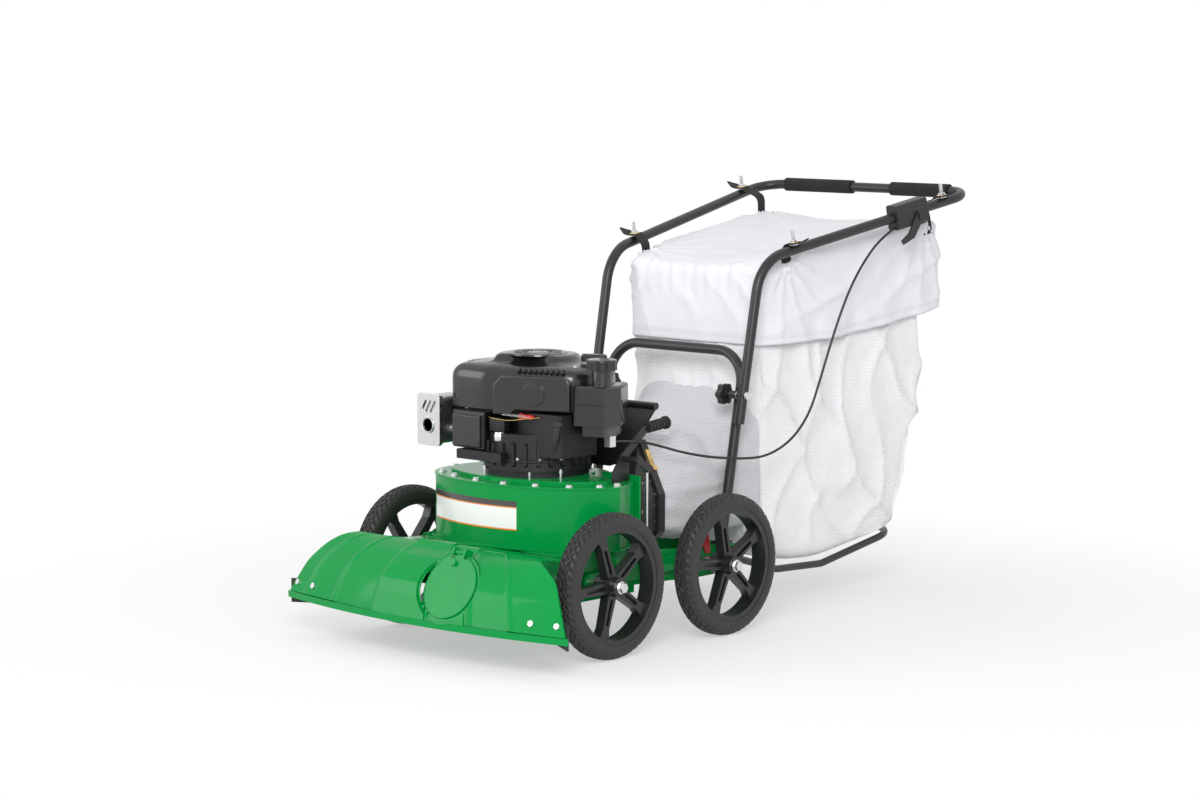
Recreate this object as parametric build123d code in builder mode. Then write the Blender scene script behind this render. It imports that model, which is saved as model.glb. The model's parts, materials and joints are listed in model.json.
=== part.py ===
"""Walk-behind leaf vacuum mulcher: wheeled suction nozzle, impeller housing, engine, chute, bag and handle.

Units are millimetres. +X is the operator's left, +Y points to the rear (the operator), +Z is up.
The wheels stand on Z = 0 and the origin is under the middle of the machine.
Stations along the machine are given as distances behind the front axle.
"""
from math import acos, atan2, cos, hypot, pi, radians, sin, tan
import os

from build123d import *

os.makedirs("parts", exist_ok=True)

# ---------------------------------------------------------------- driving dimensions
fit = 0.3                       # gap between pieces that move past each other or are assembled by hand
running = 0.08                  # radial clearance of a turning fit

wheel_diameter = 304.8
tyre_width = 44.0
rim_radius = 123.5
hub_radius = 23.0
hub_length = 56.0
axle_diameter = 12.7
track_half = 295.0              # wheel centre plane from the middle of the machine
wheelbase = 367.4
spoke_count = 5

nose_reach = 302.0              # front axle to the nozzle lip
handle_reach = 1232.8           # front axle to the rear handle bar
tube_diameter = 22.2
tube_wall = 1.8
grip_diameter = 32.0

nozzle_half_width = 410.0       # outside of the lip flange
nozzle_wall = 4.0
lip_height = 78.0               # ground to the nozzle lip
lip_flange = 14.0
nozzle_top = 225.0
panel_step = 3.0

crank_behind = 95.0             # engine shaft behind the front axle
deck_height = 211.0             # underside of the impeller housing
housing_height = 134.0
housing_wall = 3.0
impeller_radius = 140.0
impeller_height = 96.0
eye_radius = 96.0
outlet_behind = 165.0
outlet_flange = 12.0

pivot_behind = 514.0            # fold bolt of the upper handle
pivot_height = 497.0
pivot_bolt = 8.0

cable_diameter = 5.5

# ---------------------------------------------------------------- stations
wheel_radius = wheel_diameter / 2
tube_radius = tube_diameter / 2
front_axle_y = -(handle_reach + grip_diameter / 2 - nose_reach) / 2
rear_axle_y = front_axle_y + wheelbase
crank_y = front_axle_y + crank_behind
housing_top = deck_height + housing_height
pivot_y = front_axle_y + pivot_behind


standing = (Align.CENTER, Align.CENTER, Align.MIN)    # solids stand on the place that they are given


def behind(distance):
    """Y of a station given as a distance behind the front axle."""
    return front_axle_y + distance


def side_plane(x, y=0.0, z=0.0):
    """Sketch plane at X = x whose local axes are global Y and Z."""
    return Plane(origin=(x, y, z), x_dir=(0, 1, 0), z_dir=(1, 0, 0))


def facing_plane(y, x=0.0, z=0.0):
    """Sketch plane at Y = y whose local axes are global X and Z, normal pointing forward."""
    return Plane(origin=(x, y, z), x_dir=(1, 0, 0), z_dir=(0, -1, 0))


# ---------------------------------------------------------------- wheels
# Five-spoke moulded wheel with a raised rim bead, hollow-backed spokes and a long hub.
rim_width = 38.0
rim_depth = 12.0
spoke_root = 13.0
spoke_tip = 17.0
spoke_thickness = 22.0
spoke_channel = 7.0
bore_radius = axle_diameter / 2 + running
spoke_phase = {"front_left": 38.0, "front_right": 20.0, "rear_left": 30.0, "rear_right": 56.0}
corners = {
    "front_left": (1, front_axle_y),
    "front_right": (-1, front_axle_y),
    "rear_left": (1, rear_axle_y),
    "rear_right": (-1, rear_axle_y),
}

for corner, (side, wheel_y) in corners.items():
    centre = (side * track_half, wheel_y, wheel_radius)
    hub_plane = Plane(origin=centre, x_dir=(0, 1, 0), z_dir=(side, 0, 0))
    with BuildPart() as wheel:
        with BuildSketch(hub_plane.offset(-rim_width / 2)):
            Circle(rim_radius)
            Circle(rim_radius - rim_depth, mode=Mode.SUBTRACT)
        extrude(amount=rim_width)
        with BuildSketch(hub_plane.offset(-spoke_thickness / 2)):
            with PolarLocations(0, spoke_count, start_angle=spoke_phase[corner]):
                Polygon(
                    (0, -spoke_root), (rim_radius - 34, -spoke_root * 0.7), (rim_radius - 6, -spoke_tip),
                    (rim_radius - 6, spoke_tip), (rim_radius - 34, spoke_root * 0.7), (0, spoke_root),
                    align=None,
                )
        extrude(amount=spoke_thickness)
        with BuildSketch(hub_plane.offset(spoke_thickness / 2 - spoke_channel)):
            with PolarLocations(0, spoke_count, start_angle=spoke_phase[corner]):
                with Locations((hub_radius + 32, 0)):
                    SlotOverall(56, 8)
        extrude(amount=spoke_channel, mode=Mode.SUBTRACT)
        with BuildSketch(hub_plane.offset(-hub_length / 2)):
            Circle(hub_radius)
        extrude(amount=hub_length, taper=3)
        with Locations(hub_plane.offset(hub_length / 2)):
            Hole(bore_radius)
    wheel.part.label = f"wheel_{corner}"
    export_step(wheel.part, f"parts/wheel_{corner}.step")

    shoulder = 9.0
    with BuildPart() as tyre:
        with BuildSketch(Plane(origin=centre, x_dir=(1, 0, 0), z_dir=(0, -1, 0))):
            with BuildLine():
                Polyline(
                    (-rim_width / 2 - 1, rim_radius), (-tyre_width / 2, rim_radius + 9),
                    (-tyre_width / 2, wheel_radius - shoulder),
                    (-tyre_width / 2 + shoulder, wheel_radius - 1.6),
                    (0, wheel_radius), (tyre_width / 2 - shoulder, wheel_radius - 1.6),
                    (tyre_width / 2, wheel_radius - shoulder), (tyre_width / 2, rim_radius + 9),
                    (rim_width / 2 + 1, rim_radius), close=True,
                )
            make_face()
        revolve(axis=Axis(centre, (1, 0, 0)))
    tyre.part.label = f"tyre_{corner}"
    export_step(tyre.part, f"parts/tyre_{corner}.step")

# ---------------------------------------------------------------- nozzle
# Bowed hood that narrows upward, with stepped panels fanning toward the lip. Each row gives, for one
# height, the half width, the reach ahead of the front axle in the middle and the reach at the ends.
hood_sections = (
    (lip_height + lip_flange, nozzle_half_width - 7, 292.0, 250.0),
    (137.0, nozzle_half_width - 31, 281.0, 237.0),
    (162.0, nozzle_half_width - 46, 270.0, 228.0),
    (190.0, nozzle_half_width - 70, 248.0, 211.0),
    (209.0, nozzle_half_width - 98, 226.0, 204.0),
    (nozzle_top - 5, nozzle_half_width - 124, 200.0, 194.0),
    (nozzle_top, nozzle_half_width - 148, 182.0, 180.0),
)
hood_back = -60.0               # rear edge of the hood, behind the front axle
hood_back_half = 226.0
hood_shoulder_half = nozzle_half_width - 148
hood_shoulder = -168.0
panel_edges = ((-230.0, 263.0, 1), (-103.0, 156.0, 2), (-103.0, 50.0, 3))
panel_back = -82.0              # raised panels stop short of the housing
fall_end = -80.0
fall_height = 206.0
duct_half = 212.0
duct_back = 256.0
duct_top = deck_height - 5.0
duct_bottom = 112.0


def duct_outline(z, inset=0.0):
    """Plan outline of the duct that leads from the hood to the impeller eye."""
    front_half, half, back_half = hood_back_half - 4 - inset, duct_half - inset, duct_half - 80 - inset / 2
    with BuildSketch(Plane.XY.offset(z)) as outline:
        with BuildLine():
            Polyline(
                (front_half, behind(hood_back - 2 - inset)), (half, behind(0)),
                (half, behind(duct_back - 90)),
                (back_half, behind(duct_back - inset)), (-back_half, behind(duct_back - inset)),
                (-half, behind(duct_back - 90)), (-half, behind(0)),
                (-front_half, behind(hood_back - 2 - inset)),
                close=True,
            )
        make_face()
    return outline.sketch


def hood_outline(z, half, middle, ends, inset=0.0):
    """Closed plan outline of the hood at one height: bowed front, straight sides, straight back."""
    shoulder = min(hood_shoulder_half, half) - inset
    back_half = hood_back_half - inset
    with BuildSketch(Plane.XY.offset(z)) as outline:
        with BuildLine():
            ThreePointArc(
                (inset - half, behind(inset - ends)), (0, behind(inset - middle)),
                (half - inset, behind(inset - ends))
            )
            Polyline(
                (half - inset, behind(inset - ends)), (shoulder + 0.01, behind(hood_shoulder)),
                (back_half, behind(hood_back)), (-back_half, behind(hood_back)),
                (-shoulder - 0.01, behind(hood_shoulder)), (inset - half, behind(inset - ends)),
            )
        make_face()
    return outline.sketch


def panel_outline(z, left, right, half, middle, ends, rise):
    """Plan outline of one raised panel at one height, its front following the hood's bow."""
    squeeze = half / hood_sections[0][1]
    x_left, x_right = left * squeeze, right * squeeze

    def bow(x):
        return behind(-middle - rise + (middle - ends) * (x / half) ** 2)

    with BuildSketch(Plane.XY.offset(z)) as outline:
        with BuildLine():
            ThreePointArc(
                (x_left, bow(x_left)), ((x_left + x_right) / 2, bow((x_left + x_right) / 2)),
                (x_right, bow(x_right))
            )
            Polyline(
                (x_right, bow(x_right)), (x_right, behind(panel_back)), (x_left, behind(panel_back)),
                (x_left, bow(x_left)),
            )
        make_face()
    return outline.sketch


def above_fall(rise):
    """Block above the hood's rear half, which falls from the ridge to the foot of the housing."""
    with BuildPart() as block:
        with BuildSketch(side_plane(0)):
            with BuildLine():
                Polyline(
                    (behind(-hood_sections[-1][2]), nozzle_top + rise),
                    (behind(fall_end), fall_height + rise),
                    (behind(hood_back + 10), fall_height + rise), (behind(hood_back + 10), 2 * nozzle_top),
                    (behind(-hood_sections[-1][2]), 2 * nozzle_top), close=True,
                )
            make_face()
        extrude(amount=nozzle_half_width, both=True)
    return block.part


port_x = 94.0
port_middle = (-262.0, 159.5)
port_lean = 27.1
port_radius = 68.0
port_boss = 30.0
port_hinge = 74.0
port_pin_height = 5.0
port_up = (0, sin(radians(port_lean)), cos(radians(port_lean)))
port_out = (0, -cos(radians(port_lean)), sin(radians(port_lean)))
port_plane = Plane((port_x, behind(port_middle[0]), port_middle[1]), x_dir=(1, 0, 0), z_dir=port_out)
port_pin_origin = (
    port_x, behind(port_middle[0]) + port_hinge * port_up[1] + port_pin_height * port_out[1],
    port_middle[1] + port_hinge * port_up[2] + port_pin_height * port_out[2],
)

skirt_bolt_x = (nozzle_half_width - 92, nozzle_half_width - 32)
skirt_bolt_z = 112.0


def front_reach(x, z):
    """Reach of the bare hood's front ahead of the axle at a place between two of its sections."""
    for (z0, h0, m0, e0), (z1, h1, m1, e1) in zip(hood_sections, hood_sections[1:]):
        if z0 <= z <= z1:
            t = (z - z0) / (z1 - z0)
            half, middle, ends = h0 + t * (h1 - h0), m0 + t * (m1 - m0), e0 + t * (e1 - e0)
            return middle - (middle - ends) * (x / half) ** 2
    return 0.0


skirt_bolt_planes = [
    Plane(
        (side * x, behind(-front_reach(x, skirt_bolt_z)), skirt_bolt_z),
        z_dir=(
            side * (front_reach(x - 5, skirt_bolt_z) - front_reach(x + 5, skirt_bolt_z)) / 10, -1,
            (front_reach(x, skirt_bolt_z - 5) - front_reach(x, skirt_bolt_z + 5)) / 10,
        ),
    )
    for side in (-1, 1) for x in skirt_bolt_x
]

raised_panels = []
for left, right, level in panel_edges:
    lift = level * panel_step
    with BuildPart() as raised:
        loft([
            panel_outline(z + (lift if z == nozzle_top else 0), left, right, half, middle, ends, lift)
            for z, half, middle, ends in hood_sections
        ], ruled=True)
        add(above_fall(lift), mode=Mode.SUBTRACT)
    raised_panels.append(raised.part)

with BuildPart() as hood_hollow:
    loft([
        hood_outline(min(z, nozzle_top - nozzle_wall), half, middle, ends, nozzle_wall)
        for z, half, middle, ends in hood_sections[:-1]
    ], ruled=True)
    add(hood_outline(lip_height, *hood_sections[0][1:], nozzle_wall))
    extrude(amount=lip_flange + 0.5)
    add(above_fall(-nozzle_wall), mode=Mode.SUBTRACT)

with BuildPart() as nozzle:
    loft([hood_outline(*row) for row in hood_sections], ruled=True)
    add(above_fall(0), mode=Mode.SUBTRACT)
    add(hood_outline(lip_height, nozzle_half_width, nose_reach, hood_sections[0][3] + 2))
    extrude(amount=lip_flange)
    add(raised_panels)
    # duct under the impeller housing
    add(duct_outline(duct_bottom - nozzle_wall))
    extrude(amount=duct_top - duct_bottom + nozzle_wall)
    add(hood_hollow.part, mode=Mode.SUBTRACT)
    add(duct_outline(duct_bottom, nozzle_wall))
    extrude(amount=duct_top - nozzle_wall - duct_bottom, mode=Mode.SUBTRACT)
    with Locations((0, crank_y, duct_top)):
        Hole(eye_radius, depth=nozzle_wall + 1)
    # round port on the left half of the front, its boss, seat and hinge lugs
    with BuildSketch(port_plane):
        Circle(port_radius + 6)
    extrude(amount=-port_boss)
    with BuildSketch(port_plane):
        Circle(port_radius + 12)
    extrude(amount=30, mode=Mode.SUBTRACT)
    with BuildSketch(port_plane.offset(-10)):
        with Locations((-16.5, port_hinge + 1), (16.5, port_hinge + 1)):
            Rectangle(5, 16)
    extrude(amount=10 + port_pin_height + 7)
    with BuildSketch(port_plane.offset(10)):
        Circle(port_radius - 16)
    extrude(amount=-port_boss - 40, mode=Mode.SUBTRACT)
    with BuildSketch(Plane(port_pin_origin, z_dir=(1, 0, 0))):
        Circle(3 + running)
    extrude(amount=40, both=True, mode=Mode.SUBTRACT)
    # seats for the skirt bolts
    for bolt_plane in skirt_bolt_planes:
        with BuildSketch(bolt_plane):
            Circle(3.1)
        extrude(amount=12, both=True, mode=Mode.SUBTRACT)
nozzle.part.label = "nozzle"
export_step(nozzle.part, "parts/nozzle.step")

with BuildPart() as port_cover:
    with BuildSketch(port_plane.offset(fit)):
        Circle(port_radius)
        # relief so that the disc clears the hinge lugs as it lifts
        with Locations((-17, port_radius + 1), (17, port_radius + 1)):
            Rectangle(9.2, 15, mode=Mode.SUBTRACT)
        with Locations((0, port_hinge - 9)):
            Rectangle(26, 20)
    extrude(amount=4)
    fillet(port_cover.faces().sort_by(Axis((0, 0, 0), port_out))[-1].edges(), 1.2)
    with BuildSketch(Plane(port_pin_origin, z_dir=(1, 0, 0))):
        Circle(4.5)
    extrude(amount=13, both=True)
    with BuildSketch(Plane(port_pin_origin, z_dir=(1, 0, 0))):
        Circle(3)
    extrude(amount=21, both=True)
    with BuildSketch(port_plane.offset(4)):
        with Locations((-8, 50)):
            RegularPolygon(7, 6)
    extrude(amount=6)
port_cover.part.label = "port_cover"
export_step(port_cover.part, "parts/port_cover.step")

with BuildPart() as nozzle_bolts:
    for bolt_plane in skirt_bolt_planes:
        with BuildSketch(bolt_plane.offset(0.5)):
            Circle(10)
        extrude(amount=1.6)
        with BuildSketch(bolt_plane.offset(2.1)):
            RegularPolygon(7, 6)
        extrude(amount=5)
        with BuildSketch(bolt_plane.offset(0.5)):
            Circle(3)
        extrude(amount=-10)
nozzle_bolts.part.label = "nozzle_bolts"
export_step(nozzle_bolts.part, "parts/nozzle_bolts.step")

# rubber skirt behind each end of the hood
skirt_thickness = 3.0
skirt_bottom = 66.0
skirt_top = 118.0
with BuildPart() as nozzle_skirt:
    for side in (-1, 1):
        start = (hood_sections[0][1] + 1, 1.4 - hood_sections[0][3])
        end = (hood_shoulder_half + 4, hood_shoulder - 2)
        back = 0.6 + skirt_thickness
        run = hypot(start[0] - end[0], start[1] - end[1])
        out = ((end[1] - start[1]) / run, (start[0] - end[0]) / run)
        with BuildSketch(Plane.XY.offset(skirt_bottom)):
            with BuildLine():
                Polyline(
                    *[
                        (side * (x + out[0] * g), behind(y + out[1] * g))
                        for (x, y), g in ((start, 0.6), (end, 0.6), (end, back), (start, back))
                    ], close=True,
                )
            make_face()
        extrude(amount=skirt_top - skirt_bottom)
nozzle_skirt.part.label = "nozzle_skirt"
export_step(nozzle_skirt.part, "parts/nozzle_skirt.step")

# ---------------------------------------------------------------- impeller housing
# Scroll-shaped drum: broad bowed front, side walls, and an outlet on the rear left side.
flange_lap = 8.0
outlet_left = 215.0
outlet_right = impeller_radius - 6
flange_plate = 4.0
cover_thickness = 4.0
cover_rise = 8.0


def drum_outline(z, grow=0.0):
    """Plan outline of the housing wall at one height, grown or shrunk by a distance."""
    with BuildSketch(Plane.XY.offset(z)) as outline:
        with BuildLine():
            ThreePointArc((-190, behind(-22)), (-12, behind(-68)), (166, behind(-17)))
            ThreePointArc((166, behind(-17)), (213, behind(21)), (250, behind(78)))
            Polyline(
                (250, behind(78)), (outlet_left, behind(outlet_behind)),
                (outlet_right, behind(outlet_behind))
            )
            ThreePointArc(
                (outlet_right, behind(outlet_behind)), (84, behind(crank_behind + 136)),
                (0, behind(crank_behind + 163))
            )
            ThreePointArc(
                (0, behind(crank_behind + 163)), (-168, behind(crank_behind + 118)), (-236, behind(90))
            )
            ThreePointArc((-236, behind(90)), (-227, behind(25)), (-190, behind(-22)))
        make_face()
        if grow:
            offset(amount=grow, mode=Mode.REPLACE)
    return outline.sketch


with BuildPart() as scroll_housing:
    add(drum_outline(deck_height))
    extrude(amount=housing_height - cover_thickness)
    add(drum_outline(deck_height + housing_wall, -housing_wall))
    extrude(amount=housing_height, mode=Mode.SUBTRACT)
    add(drum_outline(deck_height, flange_lap))
    extrude(amount=housing_wall)
    # outlet opening and its flange
    with BuildSketch(facing_plane(behind(outlet_behind))):
        with Locations(((outlet_left + outlet_right) / 2, deck_height)):
            Rectangle(
                outlet_left - outlet_right + 2 * outlet_flange, housing_height + outlet_flange,
                align=(Align.CENTER, Align.MIN),
            )
    extrude(amount=-flange_plate)
    with BuildSketch(facing_plane(behind(outlet_behind - 14))):
        with Locations(((outlet_left + outlet_right) / 2, deck_height + housing_height / 2)):
            Rectangle(outlet_left - outlet_right - 8, housing_height - 16)
    extrude(amount=-30, mode=Mode.SUBTRACT)
    # room for the chute's flange behind the outlet flange
    with Locations((outlet_right + 1, behind(outlet_behind + flange_plate), deck_height)):
        Box(140, 60, 2 * housing_height, align=(Align.MIN, Align.MIN, Align.CENTER), mode=Mode.SUBTRACT)
    with Locations((0, crank_y, deck_height + housing_wall)):
        Hole(eye_radius, depth=housing_wall + 1)
scroll_housing.part.label = "scroll_housing"
export_step(scroll_housing.part, "parts/scroll_housing.step")

engine_pilot = 62.0
with BuildPart() as scroll_cover:
    add(drum_outline(housing_top - cover_thickness, 2))
    extrude(amount=cover_thickness)
    add(drum_outline(housing_top, -34))
    extrude(amount=cover_rise)
    # clearance for the outlet flange
    with Locations(((outlet_left + outlet_right) / 2, behind(outlet_behind), housing_top)):
        Box(
            outlet_left - outlet_right + 2 * outlet_flange + 2 * fit, 30, 40,
            align=(Align.CENTER, Align.MIN, Align.CENTER), mode=Mode.SUBTRACT,
        )
    # flat seat for the height lever's bracket
    with Locations((172, behind(106), housing_top)):
        Box(90, 64, 30, align=(Align.MIN, Align.MIN, Align.MIN), mode=Mode.SUBTRACT)
    with Locations((0, crank_y, housing_top + cover_rise)):
        Hole(engine_pilot)
scroll_cover.part.label = "scroll_cover"
export_step(scroll_cover.part, "parts/scroll_cover.step")

# ---------------------------------------------------------------- rotor
# Closed-face impeller with swept blades, its hub on the engine shaft, and the flywheel above.
blade_count = 6
blade_thickness = 5.0
blade_sweep = 34.0
impeller_plate = 5.0
impeller_top = housing_top - 14.0
shaft_radius = 12.7
hub_outer = 30.0
shaft_top = 560.0
flywheel_radius = 92.0
flywheel_z = 500.0

with BuildPart() as impeller:
    with BuildSketch(Plane.XY.offset(impeller_top - impeller_plate)):
        with Locations((0, crank_y)):
            Circle(impeller_radius)
    extrude(amount=impeller_plate)
    with BuildSketch(Plane.XY.offset(impeller_top - impeller_height)):
        with Locations((0, crank_y)):
            with PolarLocations(0, blade_count):
                Polygon(
                    (hub_outer - 4, -blade_thickness / 2),
                    (impeller_radius - 3, -blade_thickness / 2 - blade_sweep),
                    (impeller_radius - 3, blade_thickness / 2 - blade_sweep),
                    (hub_outer - 4, blade_thickness / 2 + 3),
                    align=None,
                )
    extrude(amount=impeller_height - impeller_plate)
    # front ring of the closed face, with the eye left open
    with BuildSketch(Plane.XY.offset(impeller_top - impeller_height)):
        with Locations((0, crank_y)):
            Circle(impeller_radius)
            Circle(eye_radius - 6, mode=Mode.SUBTRACT)
    extrude(amount=impeller_plate)
    with BuildSketch(Plane.XY.offset(impeller_top - impeller_height + 12)):
        with Locations((0, crank_y)):
            Circle(hub_outer)
    extrude(amount=impeller_height - 12)
    with BuildSketch(Plane.XY.offset(impeller_top - impeller_height + 12)):
        with Locations((0, crank_y)):
            Circle(shaft_radius + running)
    extrude(amount=impeller_height, mode=Mode.SUBTRACT)
impeller.part.label = "impeller"
export_step(impeller.part, "parts/impeller.step")

hub_bottom = impeller_top - impeller_height + 12.0
with BuildPart() as crankshaft:
    with BuildSketch(Plane.XY.offset(hub_bottom + 1)):
        with Locations((0, crank_y)):
            Circle(shaft_radius)
    extrude(amount=shaft_top - hub_bottom - 1)
crankshaft.part.label = "crankshaft"
export_step(crankshaft.part, "parts/crankshaft.step")

with BuildPart() as impeller_bolt:
    with BuildSketch(Plane.XY.offset(hub_bottom - fit)):
        with Locations((0, crank_y)):
            Circle(19)
    extrude(amount=-3)
    with BuildSketch(Plane.XY.offset(hub_bottom - fit - 3)):
        with Locations((0, crank_y)):
            RegularPolygon(9, 6)
    extrude(amount=-7)
impeller_bolt.part.label = "impeller_bolt"
export_step(impeller_bolt.part, "parts/impeller_bolt.step")

with BuildPart() as flywheel:
    with BuildSketch(Plane.XY.offset(flywheel_z)):
        with Locations((0, crank_y)):
            Circle(flywheel_radius)
            Circle(shaft_radius + running, mode=Mode.SUBTRACT)
    extrude(amount=12)
    with BuildSketch(Plane.XY.offset(flywheel_z + 12)):
        with Locations((0, crank_y)):
            Circle(26)
            Circle(shaft_radius + running, mode=Mode.SUBTRACT)
            with PolarLocations(0, 12):
                Polygon((40, -2), (86, -2), (86, 2), (40, 2), align=None)
    extrude(amount=20)
flywheel.part.label = "flywheel"
export_step(flywheel.part, "parts/flywheel.step")

# ---------------------------------------------------------------- frame
frame_half = track_half - 67            # outside of the side plates, inboard of the wheels
plate_thickness = 4.0
deck_plate = 4.0
frame_front = -25.0
frame_back = 492.0
pinion_behind = 290.0           # cross shaft of the front height arms
pinion_height = 165.0
shaft_diameter = 14.0
leg_x = frame_half - 35
leg_foot = 474.0
crossbar_height = 40.0
crossbar_depth = 30.0
crossbar_z = 155.0
support_tube = 16.0
support_x = frame_half - 14
socket_behind = 430.0

plate_profile = (
    (-25, 209), (60, 209), (293, 188), (frame_back, 176), (frame_back, 128), (440, 118), (250, 123), (0, 135),
    (-25, 150),
)

with BuildPart() as frame:
    for side in (-1, 1):
        with BuildSketch(side_plane(side * (frame_half - plate_thickness / 2))):
            with BuildLine():
                Polyline(*[(behind(y), z) for y, z in plate_profile], close=True)
            make_face()
        extrude(amount=plate_thickness / 2, both=True)
        # inward lip along the foot of each plate
        with BuildSketch(side_plane(side * (frame_half - 9))):
            with BuildLine():
                Polyline(
                    (behind(290), 120.6), (behind(frame_back), 123), (behind(frame_back), 119.5),
                    (behind(440), 118),
                    (behind(290), 118), close=True,
                )
            make_face()
        extrude(amount=9, both=True)
    # deck sheet under the impeller housing, open at the eye
    with BuildSketch(Plane.XY.offset(deck_height - deck_plate - fit)):
        with BuildLine():
            Polyline(
                (frame_half - 2, behind(frame_front + 5)), (frame_half - 2, behind(150)),
                (170, behind(250)),
                (-170, behind(250)), (-frame_half + 2, behind(150)),
                (-frame_half + 2, behind(frame_front + 5)),
                (-186, behind(-52)), (186, behind(-52)), close=True,
            )
        make_face()
        with Locations((0, crank_y)):
            Circle(eye_radius, mode=Mode.SUBTRACT)
    extrude(amount=deck_plate)
    # rear crossbar and the mid crossmember that carries the shaft brackets
    with Locations((0, behind(frame_back - crossbar_depth / 2 - 2), crossbar_z)):
        Box(2 * frame_half - plate_thickness, crossbar_depth, crossbar_height)
        Box(2 * frame_half, crossbar_depth - 5, crossbar_height - 5, mode=Mode.SUBTRACT)
    with Locations((0, behind(socket_behind), 140)):
        Box(2 * frame_half - plate_thickness, 26, 22)
    # bores: rear axle, arm shaft
    with Locations(Location((0, rear_axle_y, wheel_radius), (0, 90, 0))):
        Hole(axle_diameter / 2 + running, depth=frame_half + 1)
        Cylinder(axle_diameter / 2 + running, 2 * frame_half + 4, mode=Mode.SUBTRACT)
    with Locations(Location((0, behind(pinion_behind), pinion_height), (0, 90, 0))):
        Cylinder(shaft_diameter / 2 + running, 2 * frame_half + 4, mode=Mode.SUBTRACT)
    # bore for the parking tab's stem
    with Locations(Location((frame_half, behind(386), 174), (0, 90, 0))):
        Cylinder(4 + running, 20, mode=Mode.SUBTRACT)
    # sockets for the bag support and feet of the lower handle
    for side in (-1, 1):
        with Locations((side * support_x, behind(socket_behind + 6), 140)):
            Box(support_tube + 6, 70, support_tube + 6)
        with Locations(Location((side * support_x, behind(socket_behind + 20), 140), (90, 0, 0))):
            Cylinder(support_tube / 2 + running, 120, mode=Mode.SUBTRACT)
frame.part.label = "frame"
export_step(frame.part, "parts/frame.step")

with BuildPart() as rear_axle:
    with Locations(Location((0, rear_axle_y, wheel_radius), (0, 90, 0))):
        Cylinder(axle_diameter / 2, 2 * (track_half + hub_length / 2 + 8.7))
rear_axle.part.label = "rear_axle"
export_step(rear_axle.part, "parts/rear_axle.step")


with BuildPart() as rear_axle_hardware:
    for side in (-1, 1):
        nut_start = track_half + hub_length / 2 + fit
        with BuildSketch(side_plane(side * nut_start, rear_axle_y, wheel_radius)):
            Circle(13)
        extrude(amount=side * 2)
        with BuildSketch(side_plane(side * (nut_start + 2), rear_axle_y, wheel_radius)):
            RegularPolygon(10.5, 6)
        extrude(amount=side * 9)
        with BuildSketch(side_plane(side * (frame_half + fit), rear_axle_y, wheel_radius)):
            Circle(11.5)
        extrude(amount=side * (track_half - hub_length / 2 - fit - frame_half - fit))
    with Locations(Location((0, rear_axle_y, wheel_radius), (0, 90, 0))):
        Cylinder(axle_diameter / 2 + running, 2 * (track_half + hub_length / 2 + 9), mode=Mode.SUBTRACT)
rear_axle_hardware.part.label = "rear_axle_hardware"
export_step(rear_axle_hardware.part, "parts/rear_axle_hardware.step")


# ---------------------------------------------------------------- lower handle
lower_bend = 75.0
lower_reach = 551.0
lower_top = 588.0
foot_z = crossbar_z + crossbar_height / 2 + fit
handle_foot = frame_back - crossbar_depth / 2 - 2


def leg_behind(z):
    """How far behind the front axle the lower leg's centre line is at a height."""
    return handle_foot + (lower_reach - handle_foot) * (z - foot_z) / (lower_top - foot_z)


with BuildPart() as lower_handle:
    with BuildLine() as lower_line:
        FilletPolyline(
            (-leg_x, behind(handle_foot), foot_z + 3), (-leg_x, behind(lower_reach), lower_top),
            (leg_x, behind(lower_reach), lower_top), (leg_x, behind(handle_foot), foot_z + 3),
            radius=lower_bend,
        )
    with BuildSketch(Plane(lower_line.line @ 0, z_dir=lower_line.line % 0)):
        Circle(tube_radius)
        Circle(tube_radius - tube_wall, mode=Mode.SUBTRACT)
    sweep()
    # feet plates that bolt to the crossbar, and the bore for the fold bolt
    for side in (-1, 1):
        with Locations((side * leg_x, behind(handle_foot), foot_z + 2)):
            Box(34, 34, 4)
        with Locations((side * leg_x, behind(pivot_behind), pivot_height)):
            Cylinder(pivot_bolt / 2 + 5, 2 * tube_radius - 2, rotation=(0, 90, 0))
            Cylinder(pivot_bolt / 2 + running, 60, rotation=(0, 90, 0), mode=Mode.SUBTRACT)
lower_handle.part.label = "lower_handle"
export_step(lower_handle.part, "parts/lower_handle.step")

# ---------------------------------------------------------------- upper handle
upper_foot = (pivot_behind - 10.5, pivot_height - 61)
upper_knee = (568.4, 789.4)
upper_end = (handle_reach, 918.3)
upper_foot_x = 217.0
upper_knee_x = 220.7
upper_end_x = 311.8
side_bend = 100.0
corner_bend = 60.0

# Direction of the handle's side run, the normal that the studs follow, and points along it.
side_run = (upper_end_x - upper_knee_x, upper_end[0] - upper_knee[0], upper_end[1] - upper_knee[1])
side_length = (side_run[0] ** 2 + side_run[1] ** 2 + side_run[2] ** 2) ** 0.5
side_dir = tuple(v / side_length for v in side_run)
rise = side_dir[2]
normal_length = (1 - rise**2) ** 0.5
side_up = (-rise * side_dir[0] / normal_length, -rise * side_dir[1] / normal_length, normal_length)
stud_diameter = 8.0
stud_core = 3.7                 # radius of the stud outside its full-size pin
stud_pin = 20.0                 # length of the pin that a strap's grommet drops over
stud_nut = 5.0
stud_length = 32.0
stud_stations = (0.152, 0.845)  # fractions of the side run
washer = 2.0
strap_width = 24.0
strap_thickness = 2.5


def side_point(fraction, side=1):
    return (
        side * (upper_knee_x + fraction * side_run[0]), behind(upper_knee[0] + fraction * side_run[1]),
        upper_knee[1] + fraction * side_run[2],
    )


def stud_plane(fraction, side):
    upward = (side * side_up[0], side_up[1], side_up[2])
    return Plane(side_point(fraction, side), x_dir=(side_dir[1], -side * side_dir[0], 0), z_dir=upward)


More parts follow.
